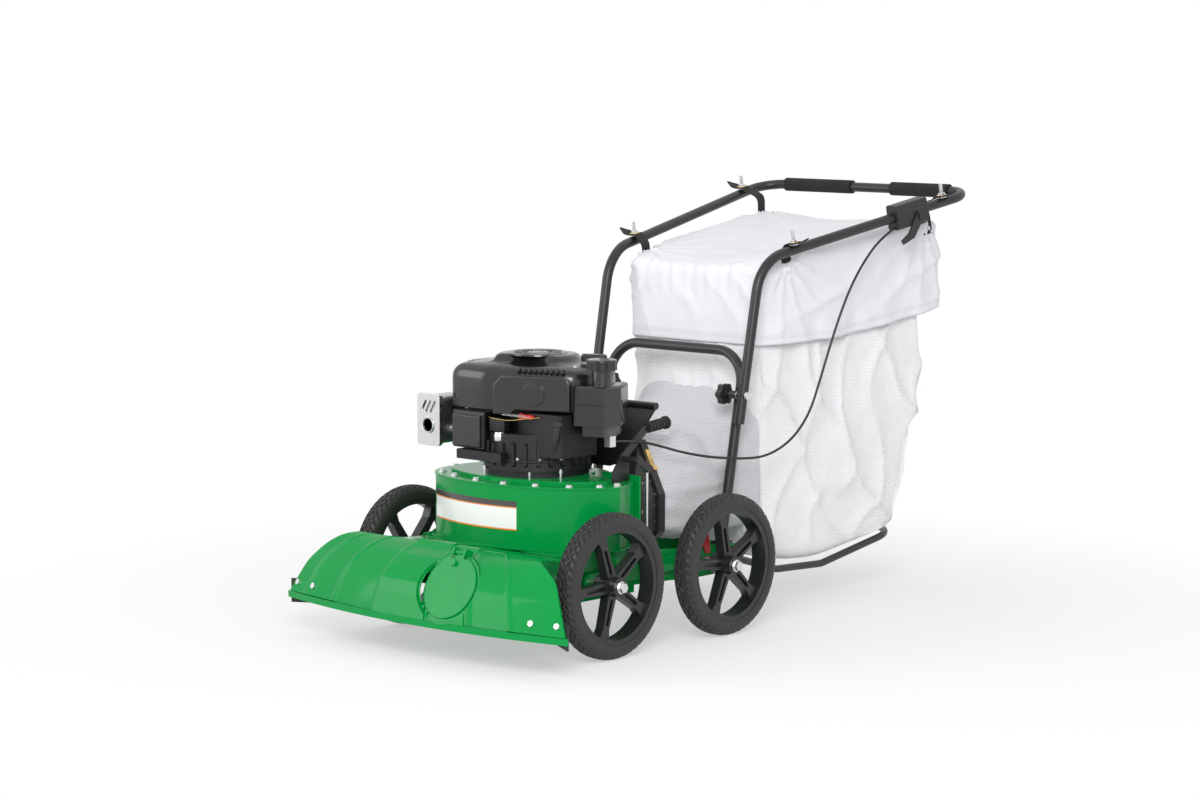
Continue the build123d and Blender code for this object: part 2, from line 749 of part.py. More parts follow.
with BuildPart() as upper_handle:
    with BuildLine() as upper_line:
        FilletPolyline(
            (-upper_foot_x, behind(upper_foot[0]), upper_foot[1]),
            (-upper_knee_x, behind(upper_knee[0]), upper_knee[1]),
            (-upper_end_x, behind(upper_end[0]), upper_end[1]),
            (upper_end_x, behind(upper_end[0]), upper_end[1]),
            (upper_knee_x, behind(upper_knee[0]), upper_knee[1]),
            (upper_foot_x, behind(upper_foot[0]), upper_foot[1]),
            radius=[side_bend, corner_bend, corner_bend, side_bend],
        )
    with BuildSketch(Plane(upper_line.line @ 0, z_dir=upper_line.line % 0)):
        Circle(tube_radius)
        Circle(tube_radius - tube_wall, mode=Mode.SUBTRACT)
    sweep()
    for side in (-1, 1):
        with Locations((side * upper_foot_x, behind(pivot_behind), pivot_height)):
            Cylinder(pivot_bolt / 2 + 5, 2 * tube_radius - 2, rotation=(0, 90, 0))
            Cylinder(pivot_bolt / 2 + running, 40, rotation=(0, 90, 0), mode=Mode.SUBTRACT)
    for fraction in stud_stations:
        for side in (-1, 1):
            with BuildSketch(stud_plane(fraction, side)):
                Circle(stud_core + running)
            extrude(amount=tube_radius + 4, both=True, mode=Mode.SUBTRACT)
upper_handle.part.label = "upper_handle"
export_step(upper_handle.part, "parts/upper_handle.step")


corner_run = 1.17 * corner_bend     # length of bar taken up by each bend
grip_spans = ((-upper_end_x + corner_run, -42.0), (77.0, upper_end_x - corner_run))
with BuildPart() as handle_grips:
    for left, right in grip_spans:
        with BuildSketch(side_plane(left, behind(upper_end[0]), upper_end[1])):
            Circle(grip_diameter / 2)
            Circle(tube_radius + running, mode=Mode.SUBTRACT)
        extrude(amount=right - left)
handle_grips.part.label = "handle_grips"
export_step(handle_grips.part, "parts/handle_grips.step")

# ---------------------------------------------------------------- bag support
support_bend = 75.0
with BuildPart() as bag_support:
    with BuildLine() as support_line:
        FilletPolyline(
            (-support_x, behind(socket_behind - 25), 140), (-support_x, behind(500), 140),
            (-support_x, behind(640), 98),
            (-support_x, behind(800), 91), (-support_x, behind(1085), 138), (support_x, behind(1085), 138),
            (support_x, behind(800), 91), (support_x, behind(640), 98), (support_x, behind(500), 140),
            (support_x, behind(socket_behind - 25), 140), radius=support_bend,
        )
    with BuildSketch(Plane(support_line.line @ 0, z_dir=support_line.line % 0)):
        Circle(support_tube / 2)
        Circle(support_tube / 2 - 1.5, mode=Mode.SUBTRACT)
    sweep()
bag_support.part.label = "bag_support"
export_step(bag_support.part, "parts/bag_support.step")

# ---------------------------------------------------------------- collection bag
bag_front_half = 198.0
bag_back_half = 248.0
bag_front = 606.0
bag_back = 1205.0
bag_profile = (
    (bag_front, 126), (700, 105), (800, 100.5), (1072, 145.5), (1100, 300), (1150, 500), (bag_back, 650),
    (bag_back, 848), (1100, 868), (900, 840), (625, 784),
)
rim_behind = 262.0
rim_sides = (100.0, 200.0, 214.0, 412.0)    # left, right, bottom, top of the chute rim


def slanted_corners(left, right, bottom, top, slant_x, slant_z, corner, grow=0.0):
    """Corners of an outline whose upper right side is cut at a slant."""
    lean, cut = grow * 0.6, corner - grow * 0.4
    return (
        (left - grow, bottom + cut), (left + cut, bottom - grow), (right - cut, bottom - grow),
        (right + grow, bottom + cut),
        (right + grow, top - slant_z + lean), (right - slant_x + lean, top + grow),
        (left + cut, top + grow),
        (left - grow, top - cut),
    )


def slanted_outline(y, *sizes, inside=None):
    """Closed outline across the travel direction, a ring when the growth of its inside is given."""
    with BuildSketch(facing_plane(y)) as outline:
        with BuildLine():
            Polyline(*slanted_corners(*sizes), close=True)
        make_face()
        if inside is not None:
            with BuildLine():
                Polyline(*slanted_corners(*sizes[:7], inside), close=True)
            make_face(mode=Mode.SUBTRACT)
    return outline.sketch


sleeve_rows = (
    (rim_behind + fit, *rim_sides, 54, 109, 14),
    (rim_behind + 16, *rim_sides, 54, 109, 14),
    (306, 84, 205, 202, 404, 54, 100, 22),
    (400, 0, 198, 188, 415, 50, 90, 30),
    (490, -110, 177, 184, 410, 60, 80, 36),
    (bag_front + 14, -180, 184, 190, 500, 60, 70, 40),
)

with BuildPart() as bag:
    with BuildSketch(side_plane(0)):
        with BuildLine():
            Polyline(*[(behind(y), z) for y, z in bag_profile], close=True)
        make_face()
    extrude(amount=bag_back_half, both=True)
    with BuildSketch(Plane.XY):
        with BuildLine():
            Polyline(
                (bag_front_half, behind(bag_front - 1)), (bag_back_half, behind(bag_back + 1)),
                (-bag_back_half, behind(bag_back + 1)), (-bag_front_half, behind(bag_front - 1)),
                close=True,
            )
        make_face()
    extrude(amount=1000, mode=Mode.INTERSECT)
    straight = bag.edges().filter_by(GeomType.LINE)
    fillet(straight.filter_by(lambda e: abs((e % 0.5).X) < 0.5 and abs((e @ 0.5).X) > 150), 22)
    loft([slanted_outline(behind(row[0]), *row[1:]) for row in sleeve_rows], ruled=True)
bag.part.label = "bag"
export_step(bag.part, "parts/bag.step")

# ---------------------------------------------------------------- chute, clamp and latch
chute_wall = 3.0
chute_start = outlet_behind + flange_plate
flange_left = outlet_left + outlet_flange
flange_right = outlet_right + 2 # kept clear of the drum wall
rib_heights = (250.0, 285.0, 308.0, 335.0)
rib_rise = 2.5
clamp_width = 20.0
neck_sides = (outlet_right + 4, outlet_left, deck_height + 8.0, housing_top - 6.0)


def chute_rows(grow):
    neck = (chute_start + 5, *neck_sides, 10, 12, 5, grow)
    collar = (rim_behind - clamp_width / 2 - 1, *rim_sides, 54, 109, 14, grow)
    return (neck, collar, (rim_behind, *collar[1:]))


with BuildPart() as chute_ribs:
    loft([slanted_outline(behind(row[0]), *row[1:]) for row in chute_rows(rib_rise)], ruled=True)
    with BuildPart(mode=Mode.PRIVATE) as slabs:
        with Locations(*[(120, behind(chute_start + 8), z) for z in rib_heights]):
            slab = rim_behind - clamp_width / 2 - 2 - chute_start - 8
            Box(240, slab, 6, align=(Align.CENTER, Align.MIN, Align.CENTER))
    add(slabs.part, mode=Mode.INTERSECT)

with BuildPart() as chute:
    loft([slanted_outline(behind(row[0]), *row[1:]) for row in chute_rows(0)], ruled=True)
    add(chute_ribs.part)
    with BuildSketch(facing_plane(behind(chute_start))):
        with Locations((flange_left, deck_height)):
            plate_height = housing_height + outlet_flange
            Rectangle(flange_left - flange_right, plate_height, align=(Align.MAX, Align.MIN))
    extrude(amount=-5.1)
    hollow_rows = chute_rows(-chute_wall)
    loft([slanted_outline(behind(row[0]), *row[1:]) for row in hollow_rows], ruled=True, mode=Mode.SUBTRACT)
    with BuildSketch(facing_plane(behind(chute_start - 1))):
        with Locations(((neck_sides[0] + neck_sides[1]) / 2, (neck_sides[2] + neck_sides[3]) / 2)):
            Rectangle(neck_sides[1] - neck_sides[0] - 12, neck_sides[3] - neck_sides[2] - 12)
    extrude(amount=-8, mode=Mode.SUBTRACT)
    with Locations((120, behind(rim_behind), 300)):
        Box(400, 2, 400, align=(Align.CENTER, Align.MIN, Align.CENTER), mode=Mode.SUBTRACT)
chute.part.label = "chute"
export_step(chute.part, "parts/chute.step")

clamp_thickness = 3.0
band_start = behind(rim_behind - clamp_width / 2)
with BuildPart() as sleeve_clamp:
    band = slanted_outline(band_start, *rim_sides, 54, 109, 14, rib_rise + clamp_thickness, inside=0.05)
    extrude(band, amount=clamp_width, dir=(0, 1, 0))
sleeve_clamp.part.label = "sleeve_clamp"
export_step(sleeve_clamp.part, "parts/sleeve_clamp.step")

# ---------------------------------------------------------------- engine
engine_foot = housing_top + cover_rise
base_radius = 110.0
base_thickness = 13.0
sump_radius = 116.0
sump_top = 445.0
back_cut = crank_behind + 84.0
block_top = 490.0
head_front = -25.0
shroud_bottom = 492.0
shroud_top = 588.0
dome_top = 608.0
cavity_radius = flywheel_radius + 3.0
valve_pivot = (40.0, 482.0)
throttle_pivot = (92.0, 462.0)
valve_stem = 3.5
stem_depth = 12.0

with BuildPart() as engine_block:
    with Locations((0, crank_y, engine_foot)):
        Cylinder(base_radius, base_thickness, align=(Align.CENTER, Align.CENTER, Align.MIN))
    with Locations((0, crank_y, engine_foot + base_thickness)):
        Cylinder(sump_radius, sump_top - engine_foot - base_thickness, align=standing)
        Cylinder(78, block_top - engine_foot - base_thickness, align=standing)
    with Locations((0, behind(back_cut), engine_foot)):
        Box(400, 120, 400, align=(Align.CENTER, Align.MIN, Align.CENTER), mode=Mode.SUBTRACT)
    # crankcase corner and cylinder with cooling fins
    with Locations((87, behind(62), 401)):
        Box(126, 108, block_top - 401, align=(Align.CENTER, Align.CENTER, Align.MIN))
    with Locations((-86, behind(head_front), 414)):
        Box(70, 70, 64, align=(Align.CENTER, Align.MIN, Align.MIN))
    with Locations(*[(-86, behind(head_front + 6 + 11 * i), 408) for i in range(5)]):
        Box(88, 4, 78, align=(Align.CENTER, Align.MIN, Align.MIN))
    with Locations((-86, behind(head_front), 407)):
        Box(90, 5, 80, align=(Align.CENTER, Align.MIN, Align.MIN))
    # mounting brackets at the foot, and the bore for the crankshaft
    with Locations((-45, behind(-40), 385)):
        Box(130, 34, 20, align=(Align.CENTER, Align.MIN, Align.MIN))
    with Locations((0, crank_y, 500)):
        Hole(shaft_radius + running)
    with Locations(Location((valve_pivot[0], behind(8), valve_pivot[1]), (90, 0, 0))):
        Cylinder(valve_stem + running, 2 * stem_depth + 1, mode=Mode.SUBTRACT)
    with Locations(Location((150, behind(throttle_pivot[0]), throttle_pivot[1]), (0, 90, 0))):
        Cylinder(valve_stem + running, 2 * stem_depth + 1, mode=Mode.SUBTRACT)
engine_block.part.label = "engine_block"
export_step(engine_block.part, "parts/engine_block.step")

with BuildPart() as valve_cover:
    with Locations((-86, behind(head_front - fit), 411)):
        Box(81, 13, 68, align=(Align.CENTER, Align.MAX, Align.MIN))
    fillet(valve_cover.edges().group_by(Axis.Y)[0], 4)
    with Locations((-86, behind(head_front - fit), 407)):
        Box(92, 3, 78, align=(Align.CENTER, Align.MAX, Align.MIN))
valve_cover.part.label = "valve_cover"
export_step(valve_cover.part, "parts/valve_cover.step")

muffler_box = (-218.0, -151.0, -50.0, 30.0, 406.0, 517.0)     # two ends along each of X, Y and Z
shroud_plan = (
    (-160, -5), (-142, -30), (-50, -30), (-21, -20), (155, 39), (165, 150), (100, 235), (-60, 245),
    (-165, 190), (-185, 90),
)
face_angle = 18.6
pull_point = (128.0, 132.0)
rope_radius = 2.0
with BuildPart() as blower_shroud:
    with BuildSketch(Plane.XY.offset(shroud_bottom)):
        with BuildLine():
            Polyline(*[(x, behind(y)) for x, y in shroud_plan], close=True)
        make_face()
    extrude(amount=shroud_top - shroud_bottom)
    chamfer(blower_shroud.edges().group_by(Axis.Z)[-1], 14)
    with BuildSketch(Plane.XY.offset(shroud_top - 8)):
        with Locations((0, crank_y)):
            Circle(100)
    extrude(amount=dome_top - shroud_top + 8, taper=18)
    with Locations((0, crank_y, shroud_bottom)):
        Cylinder(cavity_radius, 78, align=(Align.CENTER, Align.CENTER, Align.MIN), mode=Mode.SUBTRACT)
    with Locations((pull_point[0], behind(pull_point[1]), shroud_top)):
        Hole(rope_radius + running)
    # notch beside the muffler
    with Locations((muffler_box[1] + 1, behind(muffler_box[3] + 2), muffler_box[5] + 2)):
        Box(200, 200, 200, align=(Align.MAX, Align.MAX, Align.MAX), mode=Mode.SUBTRACT)
blower_shroud.part.label = "blower_shroud"
export_step(blower_shroud.part, "parts/blower_shroud.step")

# side cover on the shroud's long front face, with its plain round boss
face_start = (-21.0, -20.0)
face_length = 186.0
cover_depth = 16.0
with BuildPart() as engine_cover:
    cover_plane = Plane(
        origin=(face_start[0], behind(face_start[1]), 0),
        x_dir=(cos(radians(face_angle)), sin(radians(face_angle)), 0),
        z_dir=(sin(radians(face_angle)), -cos(radians(face_angle)), 0),
    )
    with BuildSketch(cover_plane.offset(fit)):
        with BuildLine():
            Polyline(
                (6, 486), (44, 486), (60, 497), (face_length - 4, 497), (face_length - 4, 560),
                (face_length - 14, 568),
                (24, 568), (6, 548), close=True,
            )
        make_face()
    extrude(amount=cover_depth)
    fillet(engine_cover.faces().sort_by(Axis((0, 0, 0), cover_plane.z_dir))[-1].edges(), 4)
    with BuildSketch(cover_plane.offset(cover_depth)):
        with Locations((face_length / 2 + 8, 532)):
            Circle(25)
    extrude(amount=3)
engine_cover.part.label = "engine_cover"
export_step(engine_cover.part, "parts/engine_cover.step")

tank_plan = ((155.4, 39.1), (221, 62), (222, 112), (172, 190), (166, 165), (165.4, 150))
neck_point = (197.0, 80.0)
tank_bottom = 446.0
tank_top = 552.0
neck_top = 586.0
neck_radius = 20.5
cap_radius = 32.0
cap_top = 608.0
with BuildPart() as fuel_tank:
    with BuildSketch(Plane.XY.offset(tank_bottom + 22)):
        with BuildLine():
            Polyline(*[(x, behind(y)) for x, y in tank_plan], close=True)
        make_face()
    extrude(amount=tank_top - tank_bottom - 22)
    fillet(fuel_tank.edges().group_by(Axis.Z)[-1], 8)
    with BuildSketch(Plane.XY.offset(tank_bottom)):
        with BuildLine():
            Polyline(
                (168, behind(52)), (212, behind(68)), (212, behind(112)), (174, behind(172)), (168, behind(160)),
                close=True,
            )
        make_face()
    extrude(amount=30)
    with BuildSketch(Plane.XY.offset(tank_top - 4)):
        with Locations((neck_point[0], behind(neck_point[1]))):
            Circle(neck_radius)
    extrude(amount=neck_top - tank_top + 4 + 10)
    with Locations((neck_point[0], behind(neck_point[1]), neck_top + 10)):
        Hole(neck_radius - 3, depth=60)
fuel_tank.part.label = "fuel_tank"
export_step(fuel_tank.part, "parts/fuel_tank.step")

with BuildPart() as fuel_cap:
    with BuildSketch(Plane.XY.offset(neck_top)):
        with Locations((neck_point[0], behind(neck_point[1]))):
            Circle(cap_radius)
    extrude(amount=cap_top - neck_top)
    fillet(fuel_cap.edges().group_by(Axis.Z)[-1], 4)
    with BuildSketch(Plane.XY.offset(neck_top)):
        with Locations((neck_point[0], behind(neck_point[1]))):
            with PolarLocations(cap_radius, 12):
                Circle(3.2)
    extrude(amount=cap_top - neck_top - 4, mode=Mode.SUBTRACT)
    with Locations((neck_point[0], behind(neck_point[1]), neck_top)):
        Cylinder(neck_radius + 0.15, 10 + fit, align=standing, mode=Mode.SUBTRACT)
fuel_cap.part.label = "fuel_cap"
export_step(fuel_cap.part, "parts/fuel_cap.step")

guard_depth = 10.0
with BuildPart() as muffler:
    x0, x1, y0, y1, z0, z1 = muffler_box
    with Locations(((x0 + x1) / 2 + 2, behind(y0 + guard_depth + fit), z0 + 4)):
        Box(x1 - x0 - 8, y1 - y0 - guard_depth, z1 - z0 - 8, align=(Align.CENTER, Align.MIN, Align.MIN))
    fillet(muffler.edges().filter_by(Axis.Y), 14)
    # pipe to the cylinder head
    with Locations((-143.2, behind(0), 440)):
        Cylinder(13, 26, rotation=(0, 90, 0))
muffler.part.label = "muffler"
export_step(muffler.part, "parts/muffler.step")

with BuildPart() as muffler_guard:
    with Locations(((x0 + x1) / 2, behind(y0), z0)):
        Box(x1 - x0, guard_depth, z1 - z0, align=(Align.CENTER, Align.MIN, Align.MIN))
    fillet(muffler_guard.edges().filter_by(Axis.Y), 8)
    with Locations(((x0 + x1) / 2, behind(y0 + 2), z0 + 2)):
        pocket = (x1 - x0 - 4, guard_depth, z1 - z0 - 4)
        Box(*pocket, align=(Align.CENTER, Align.MIN, Align.MIN), mode=Mode.SUBTRACT)
    with BuildSketch(facing_plane(behind(y0 - 1))):
        with Locations(((x0 + x1) / 2, z0 + 44)):
            Circle(14)
        with Locations(*[((x0 + x1) / 2 + 14 * i, z0 + 84) for i in (-1, 0, 1)]):
            SlotOverall(30, 6, rotation=60)
    extrude(amount=-6, mode=Mode.SUBTRACT)
muffler_guard.part.label = "muffler_guard"
export_step(muffler_guard.part, "parts/muffler_guard.step")

with BuildPart() as air_cleaner:
    with Locations((-86, behind(back_cut + fit), 408)):
        Box(92, 58, 78, align=(Align.CENTER, Align.MIN, Align.MIN))
    fillet(air_cleaner.edges().filter_by(Axis.Z), 10)
    fillet(air_cleaner.edges().group_by(Axis.Z)[-1], 4)
air_cleaner.part.label = "air_cleaner"
export_step(air_cleaner.part, "parts/air_cleaner.step")

# small red fuel valve on the crankcase front and the throttle arm on its side
with BuildPart() as fuel_valve_knob:
    with BuildSketch(facing_plane(behind(8 - fit))):
        with Locations((valve_pivot[0] + 12, valve_pivot[1])):
            SlotOverall(42, 9)
        with Locations(valve_pivot):
            Circle(7)
    extrude(amount=7)
    with BuildSketch(facing_plane(behind(8 - fit))):
        with Locations(valve_pivot):
            Circle(valve_stem)
    extrude(amount=-stem_depth)
fuel_valve_knob.part.label = "fuel_valve_knob"
export_step(fuel_valve_knob.part, "parts/fuel_valve_knob.step")

with BuildPart() as throttle_arm:
    with BuildSketch(side_plane(150 + fit)):
        with Locations((behind(throttle_pivot[0] + 10), throttle_pivot[1])):
            SlotOverall(36, 12)
        with Locations((behind(throttle_pivot[0] + 20), throttle_pivot[1])):
            Circle(1.5, mode=Mode.SUBTRACT)
    extrude(amount=3)
    with BuildSketch(side_plane(150 + fit, behind(throttle_pivot[0]), throttle_pivot[1])):
        Circle(valve_stem)
    extrude(amount=-stem_depth)
throttle_arm.part.label = "throttle_arm"
export_step(throttle_arm.part, "parts/throttle_arm.step")

# recoil starter grip with the straight length of rope that it draws out
rope_length = 92.0
with BuildPart() as starter_grip:
    with BuildSketch(Plane.XY.offset(shroud_top + fit)):
        with Locations((pull_point[0], behind(pull_point[1]))):
            Circle(9)
    extrude(amount=7)
    with BuildSketch(Plane.XY.offset(shroud_top + fit + 6)):
        with Locations((pull_point[0], behind(pull_point[1]))):
            SlotOverall(58, 20, rotation=face_angle)
    extrude(amount=16)
    fillet(starter_grip.edges().group_by(Axis.Z)[-1], 5)
    with BuildSketch(Plane.XY.offset(shroud_top + 2)):
        with Locations((pull_point[0], behind(pull_point[1]))):
            Circle(rope_radius)
    extrude(amount=-rope_length)
starter_grip.part.label = "starter_grip"
export_step(starter_grip.part, "parts/starter_grip.step")

# ---------------------------------------------------------------- guard plate and throttle parts
sheet = 3.0
guard_foot = 190.0
guard_knee = engine_foot + 25
guard_top = (280.0, engine_foot + 137)
guard_roll = 8.0
guard_left = -20.0
guard_right = (157.0, 173.0)    # at the knee and at the top
with BuildPart() as guard_plate:
    with BuildSketch(side_plane(guard_left)):
        with BuildLine():
            Polyline(
                (behind(guard_foot + 22), engine_foot), (behind(guard_foot), engine_foot),
                (behind(guard_foot), guard_knee),
                (behind(guard_top[0]), guard_top[1]), (behind(guard_top[0] + sheet), guard_top[1] - sheet),
                (behind(guard_foot + sheet), guard_knee - sheet / 2),
                (behind(guard_foot + sheet), engine_foot + sheet),
                (behind(guard_foot + 22), engine_foot + sheet), close=True,
            )
        make_face()
    extrude(amount=guard_right[1] - guard_left)
    with Locations((guard_left, behind(guard_top[0]), guard_top[1])):
        Cylinder(guard_roll, guard_right[1] - guard_left, rotation=(0, 90, 0), align=standing)
    # slanted right edge, and the foot kept to the housing's raised part
    with BuildSketch(facing_plane(behind(guard_foot - 30))):
        with BuildLine():
            Polyline(
                (48, engine_foot - 2), (48, 366), (120, 366), (guard_right[0], guard_knee),
                (guard_right[1], guard_top[1]),
                (guard_right[1] + 20, guard_top[1] + 30), (guard_right[1] + 20, engine_foot - 2),
                close=True,
            )
        make_face()
    extrude(amount=-160, mode=Mode.SUBTRACT)
guard_plate.part.label = "guard_plate"
export_step(guard_plate.part, "parts/guard_plate.step")

# ---------------------------------------------------------------- front height adjustment
lever_x = 190.0
lever_pivot = (150.0, 392.0)
lever_thickness = 5.0
lever_shaft = 12.0
grip_start = (225.0, 450.0)
grip_end = (290.0, 456.0)
bracket_x = 198.0
crank_pin = (182.0, 372.0)
arm_inner = frame_half + 8
arm_thickness = 6.0
link_x = frame_half + 5
link_radius = 3.0
link_eye = 10.0
pin_radius = 4.0
eye_play = 4.0                  # the link's lower eye is a slot, so that the arm can swing freely
slot_gap = 0.6
arm_pin = (182.0, 172.0)


def flat_bar(start, end, width):
    """Rounded flat bar between two points of the active side-view sketch."""
    length = hypot(end[0] - start[0], end[1] - start[1])
    angle = atan2(end[1] - start[1], end[0] - start[0]) * 180 / pi
    with BuildSketch(Plane.XY) as bar:
        with Locations(Location(((start[0] + end[0]) / 2, (start[1] + end[1]) / 2, 0), (0, 0, angle))):
            SlotCenterToCenter(length, width)
    return bar.sketch


with BuildPart() as height_lever:
    with BuildSketch(side_plane(lever_x - lever_thickness / 2)):
        with BuildLine():
            Polyline(
                (behind(lever_pivot[0] - 9), lever_pivot[1] - 3),
                (behind(lever_pivot[0] + 5), lever_pivot[1] - 9),
                (behind(grip_start[0] + 6), grip_start[1] - 7), (behind(grip_end[0] - 10), grip_end[1] - 5),
                (behind(grip_end[0] - 10), grip_end[1] + 3), (behind(grip_start[0]), grip_start[1] + 5),
                (behind(lever_pivot[0] - 6), lever_pivot[1] + 8), close=True,
            )
        make_face()
    extrude(amount=lever_thickness)
    with BuildSketch(side_plane(lever_x - lever_thickness / 2, behind(lever_pivot[0]), lever_pivot[1])):
        Circle(lever_shaft / 2 + 4)
    extrude(amount=lever_thickness)
    with BuildSketch(side_plane(lever_x, behind(lever_pivot[0]), lever_pivot[1])):
        Circle(lever_shaft / 2)
    extrude(amount=arm_inner + arm_thickness - lever_x)
    # crank on the outer end, with the pin that carries the lift link
    with BuildSketch(side_plane(arm_inner + 0.5)):
        with BuildLine():
            Polyline(
                (behind(lever_pivot[0] - 8), lever_pivot[1] - 3),
                (behind(lever_pivot[0] - 1), lever_pivot[1] + 9),
                (behind(crank_pin[0] + 5), crank_pin[1] + 6),
                (behind(crank_pin[0] - 1), crank_pin[1] - 8), close=True,
            )
        make_face()
        with Locations((behind(crank_pin[0]), crank_pin[1])):
            Circle(9)
        with Locations((behind(lever_pivot[0]), lever_pivot[1])):
            Circle(10)
    extrude(amount=arm_thickness - 1)
    with BuildSketch(side_plane(link_x - 3.5, behind(crank_pin[0]), crank_pin[1])):
        Circle(pin_radius)
    extrude(amount=arm_inner + 2 - link_x + 3.5)
height_lever.part.label = "height_lever"
export_step(height_lever.part, "parts/height_lever.step")

lever_grip_radius = 12.0
grip_run = hypot(grip_end[0] - grip_start[0], grip_end[1] - grip_start[1])
grip_axis = Plane(
    origin=(lever_x, behind(grip_start[0]), grip_start[1]),
    z_dir=(0, (grip_end[0] - grip_start[0]) / grip_run, (grip_end[1] - grip_start[1]) / grip_run),
)
with BuildPart() as lever_grip:
    with BuildSketch(grip_axis.offset(4)):
        Circle(lever_grip_radius - 2)
    extrude(amount=grip_run - 4)
    for i in range(6):
        with BuildSketch(grip_axis.offset(6 + i * 10)):
            Circle(lever_grip_radius)
        extrude(amount=5)
    with BuildSketch(grip_axis.offset(grip_run - 3)):
        Circle(lever_grip_radius + 2)
    extrude(amount=6)
    with BuildSketch(side_plane(lever_x - lever_thickness / 2 - 0.02)):
        with BuildLine():
            Polyline(
                (behind(lever_pivot[0] + 5), lever_pivot[1] - 9),
                (behind(grip_start[0] + 6), grip_start[1] - 7.02),
                (behind(grip_end[0] - 9.9), grip_end[1] - 5.02),
                (behind(grip_end[0] - 9.9), grip_end[1] + 3.02),
                (behind(grip_start[0]), grip_start[1] + 5.02),
                (behind(lever_pivot[0] - 6), lever_pivot[1] + 8), close=True,
            )
        make_face()
    extrude(amount=lever_thickness + 0.04, mode=Mode.SUBTRACT)
lever_grip.part.label = "lever_grip"
export_step(lever_grip.part, "parts/lever_grip.step")

# bracket on the housing cover that carries the lever shaft
with BuildPart() as lever_bracket:
    with BuildSketch(side_plane(bracket_x - sheet / 2)):
        with BuildLine():
            Polyline(
                (behind(112), housing_top), (behind(164), housing_top), (behind(164), 398),
                (behind(152), 406),
                (behind(138), 402), (behind(112), 366), close=True,
            )
        make_face()
        with Locations((behind(lever_pivot[0]), lever_pivot[1])):
            Circle(lever_shaft / 2 + running, mode=Mode.SUBTRACT)
    extrude(amount=sheet)
    with Locations((bracket_x - sheet / 2, behind(138), housing_top)):
        Box(20, 52, sheet, align=(Align.MAX, Align.CENTER, Align.MIN))
lever_bracket.part.label = "lever_bracket"
export_step(lever_bracket.part, "parts/lever_bracket.step")

with BuildPart() as lift_link:
    with BuildSketch(side_plane(link_x - 2.5)):
        for y, z in (crank_pin, arm_pin):
            with Locations((behind(y), z)):
                Circle(link_eye)
        with Locations((behind(arm_pin[0]), arm_pin[1])):
            SlotOverall(2 * (link_eye + eye_play), 2 * link_eye)
            slot = 2 * (pin_radius + slot_gap)
            SlotOverall(slot + 2 * eye_play, slot, mode=Mode.SUBTRACT)
        with Locations((behind(crank_pin[0]), crank_pin[1])):
            Circle(pin_radius + running, mode=Mode.SUBTRACT)
    extrude(amount=5)
    with BuildSketch(Plane.XY.offset(arm_pin[1] + link_eye - 1)):
        with Locations((link_x, behind(crank_pin[0]))):
            Circle(link_radius)
    extrude(amount=crank_pin[1] - arm_pin[1] - 2 * link_eye + 2)
lift_link.part.label = "lift_link"
export_step(lift_link.part, "parts/lift_link.step")

with BuildPart() as swing_arms:
    with BuildSketch(side_plane(0, behind(pinion_behind), pinion_height)):
        Circle(shaft_diameter / 2)
    extrude(amount=arm_inner + 1, both=True)
    for side in (-1, 1):
        with BuildSketch(side_plane(side * arm_inner)):
            with BuildLine():
                Polyline(
                    (behind(-6), wheel_radius + 18), (behind(pinion_behind + 6), pinion_height + 15),
                    (behind(pinion_behind + 6), pinion_height - 15), (behind(-6), wheel_radius - 18),
                    close=True,
                )
            make_face()
            with Locations((behind(0), wheel_radius)):
                Circle(19)
            with Locations((behind(pinion_behind), pinion_height)):
                Circle(17)
        extrude(amount=side * arm_thickness)
        with BuildSketch(side_plane(side * arm_inner, behind(0), wheel_radius)):
            Circle(axle_diameter / 2)
        extrude(amount=side * (track_half + hub_length / 2 + 8.7 - arm_inner))
    with BuildSketch(side_plane(arm_inner, behind(arm_pin[0]), arm_pin[1])):
        Circle(pin_radius)
    extrude(amount=-(arm_inner - link_x + 3.5))
swing_arms.part.label = "swing_arms"
export_step(swing_arms.part, "parts/swing_arms.step")

with BuildPart() as front_axle_hardware:
    for side in (-1, 1):
        nut_start = track_half + hub_length / 2 + fit
        with BuildSketch(side_plane(side * nut_start, behind(0), wheel_radius)):
            Circle(13)
        extrude(amount=side * 2)
        with BuildSketch(side_plane(side * (nut_start + 2), behind(0), wheel_radius)):
            RegularPolygon(10.5, 6)
        extrude(amount=side * 9)
        with BuildSketch(side_plane(side * (arm_inner + arm_thickness), behind(0), wheel_radius)):
            Circle(11.5)
        extrude(amount=side * (track_half - hub_length / 2 - fit - arm_inner - arm_thickness))
    with Locations(Location((0, behind(0), wheel_radius), (0, 90, 0))):
        Cylinder(axle_diameter / 2 + running, 2 * (track_half + hub_length / 2 + 9), mode=Mode.SUBTRACT)
front_axle_hardware.part.label = "front_axle_hardware"
export_step(front_axle_hardware.part, "parts/front_axle_hardware.step")

with BuildPart() as bag_studs:
    for fraction in stud_stations:
        for side in (-1, 1):
            base = stud_plane(fraction, side)
            with BuildSketch(base.offset(-tube_radius + tube_wall + 1)):
                Circle(stud_core)
            extrude(amount=2 * tube_radius - tube_wall - 1 + stud_length)
            with BuildSketch(base.offset(tube_radius + 0.1)):
                Circle(11)
            extrude(amount=washer)
            nut_seat = tube_radius + washer + strap_thickness + 2 * fit
            with BuildSketch(base.offset(nut_seat)):
                Circle(7.5)
            extrude(amount=stud_nut)
            with BuildSketch(base.offset(nut_seat + stud_nut + 0.5)):
                Circle(stud_diameter / 2)
            extrude(amount=stud_pin)
bag_studs.part.label = "bag_studs"
export_step(bag_studs.part, "parts/bag_studs.step")


def bag_half(station):
    """Half width of the bag at a distance behind the front axle."""
    share = (station - bag_front) / (bag_back - bag_front)
    return bag_front_half + (bag_back_half - bag_front_half) * share


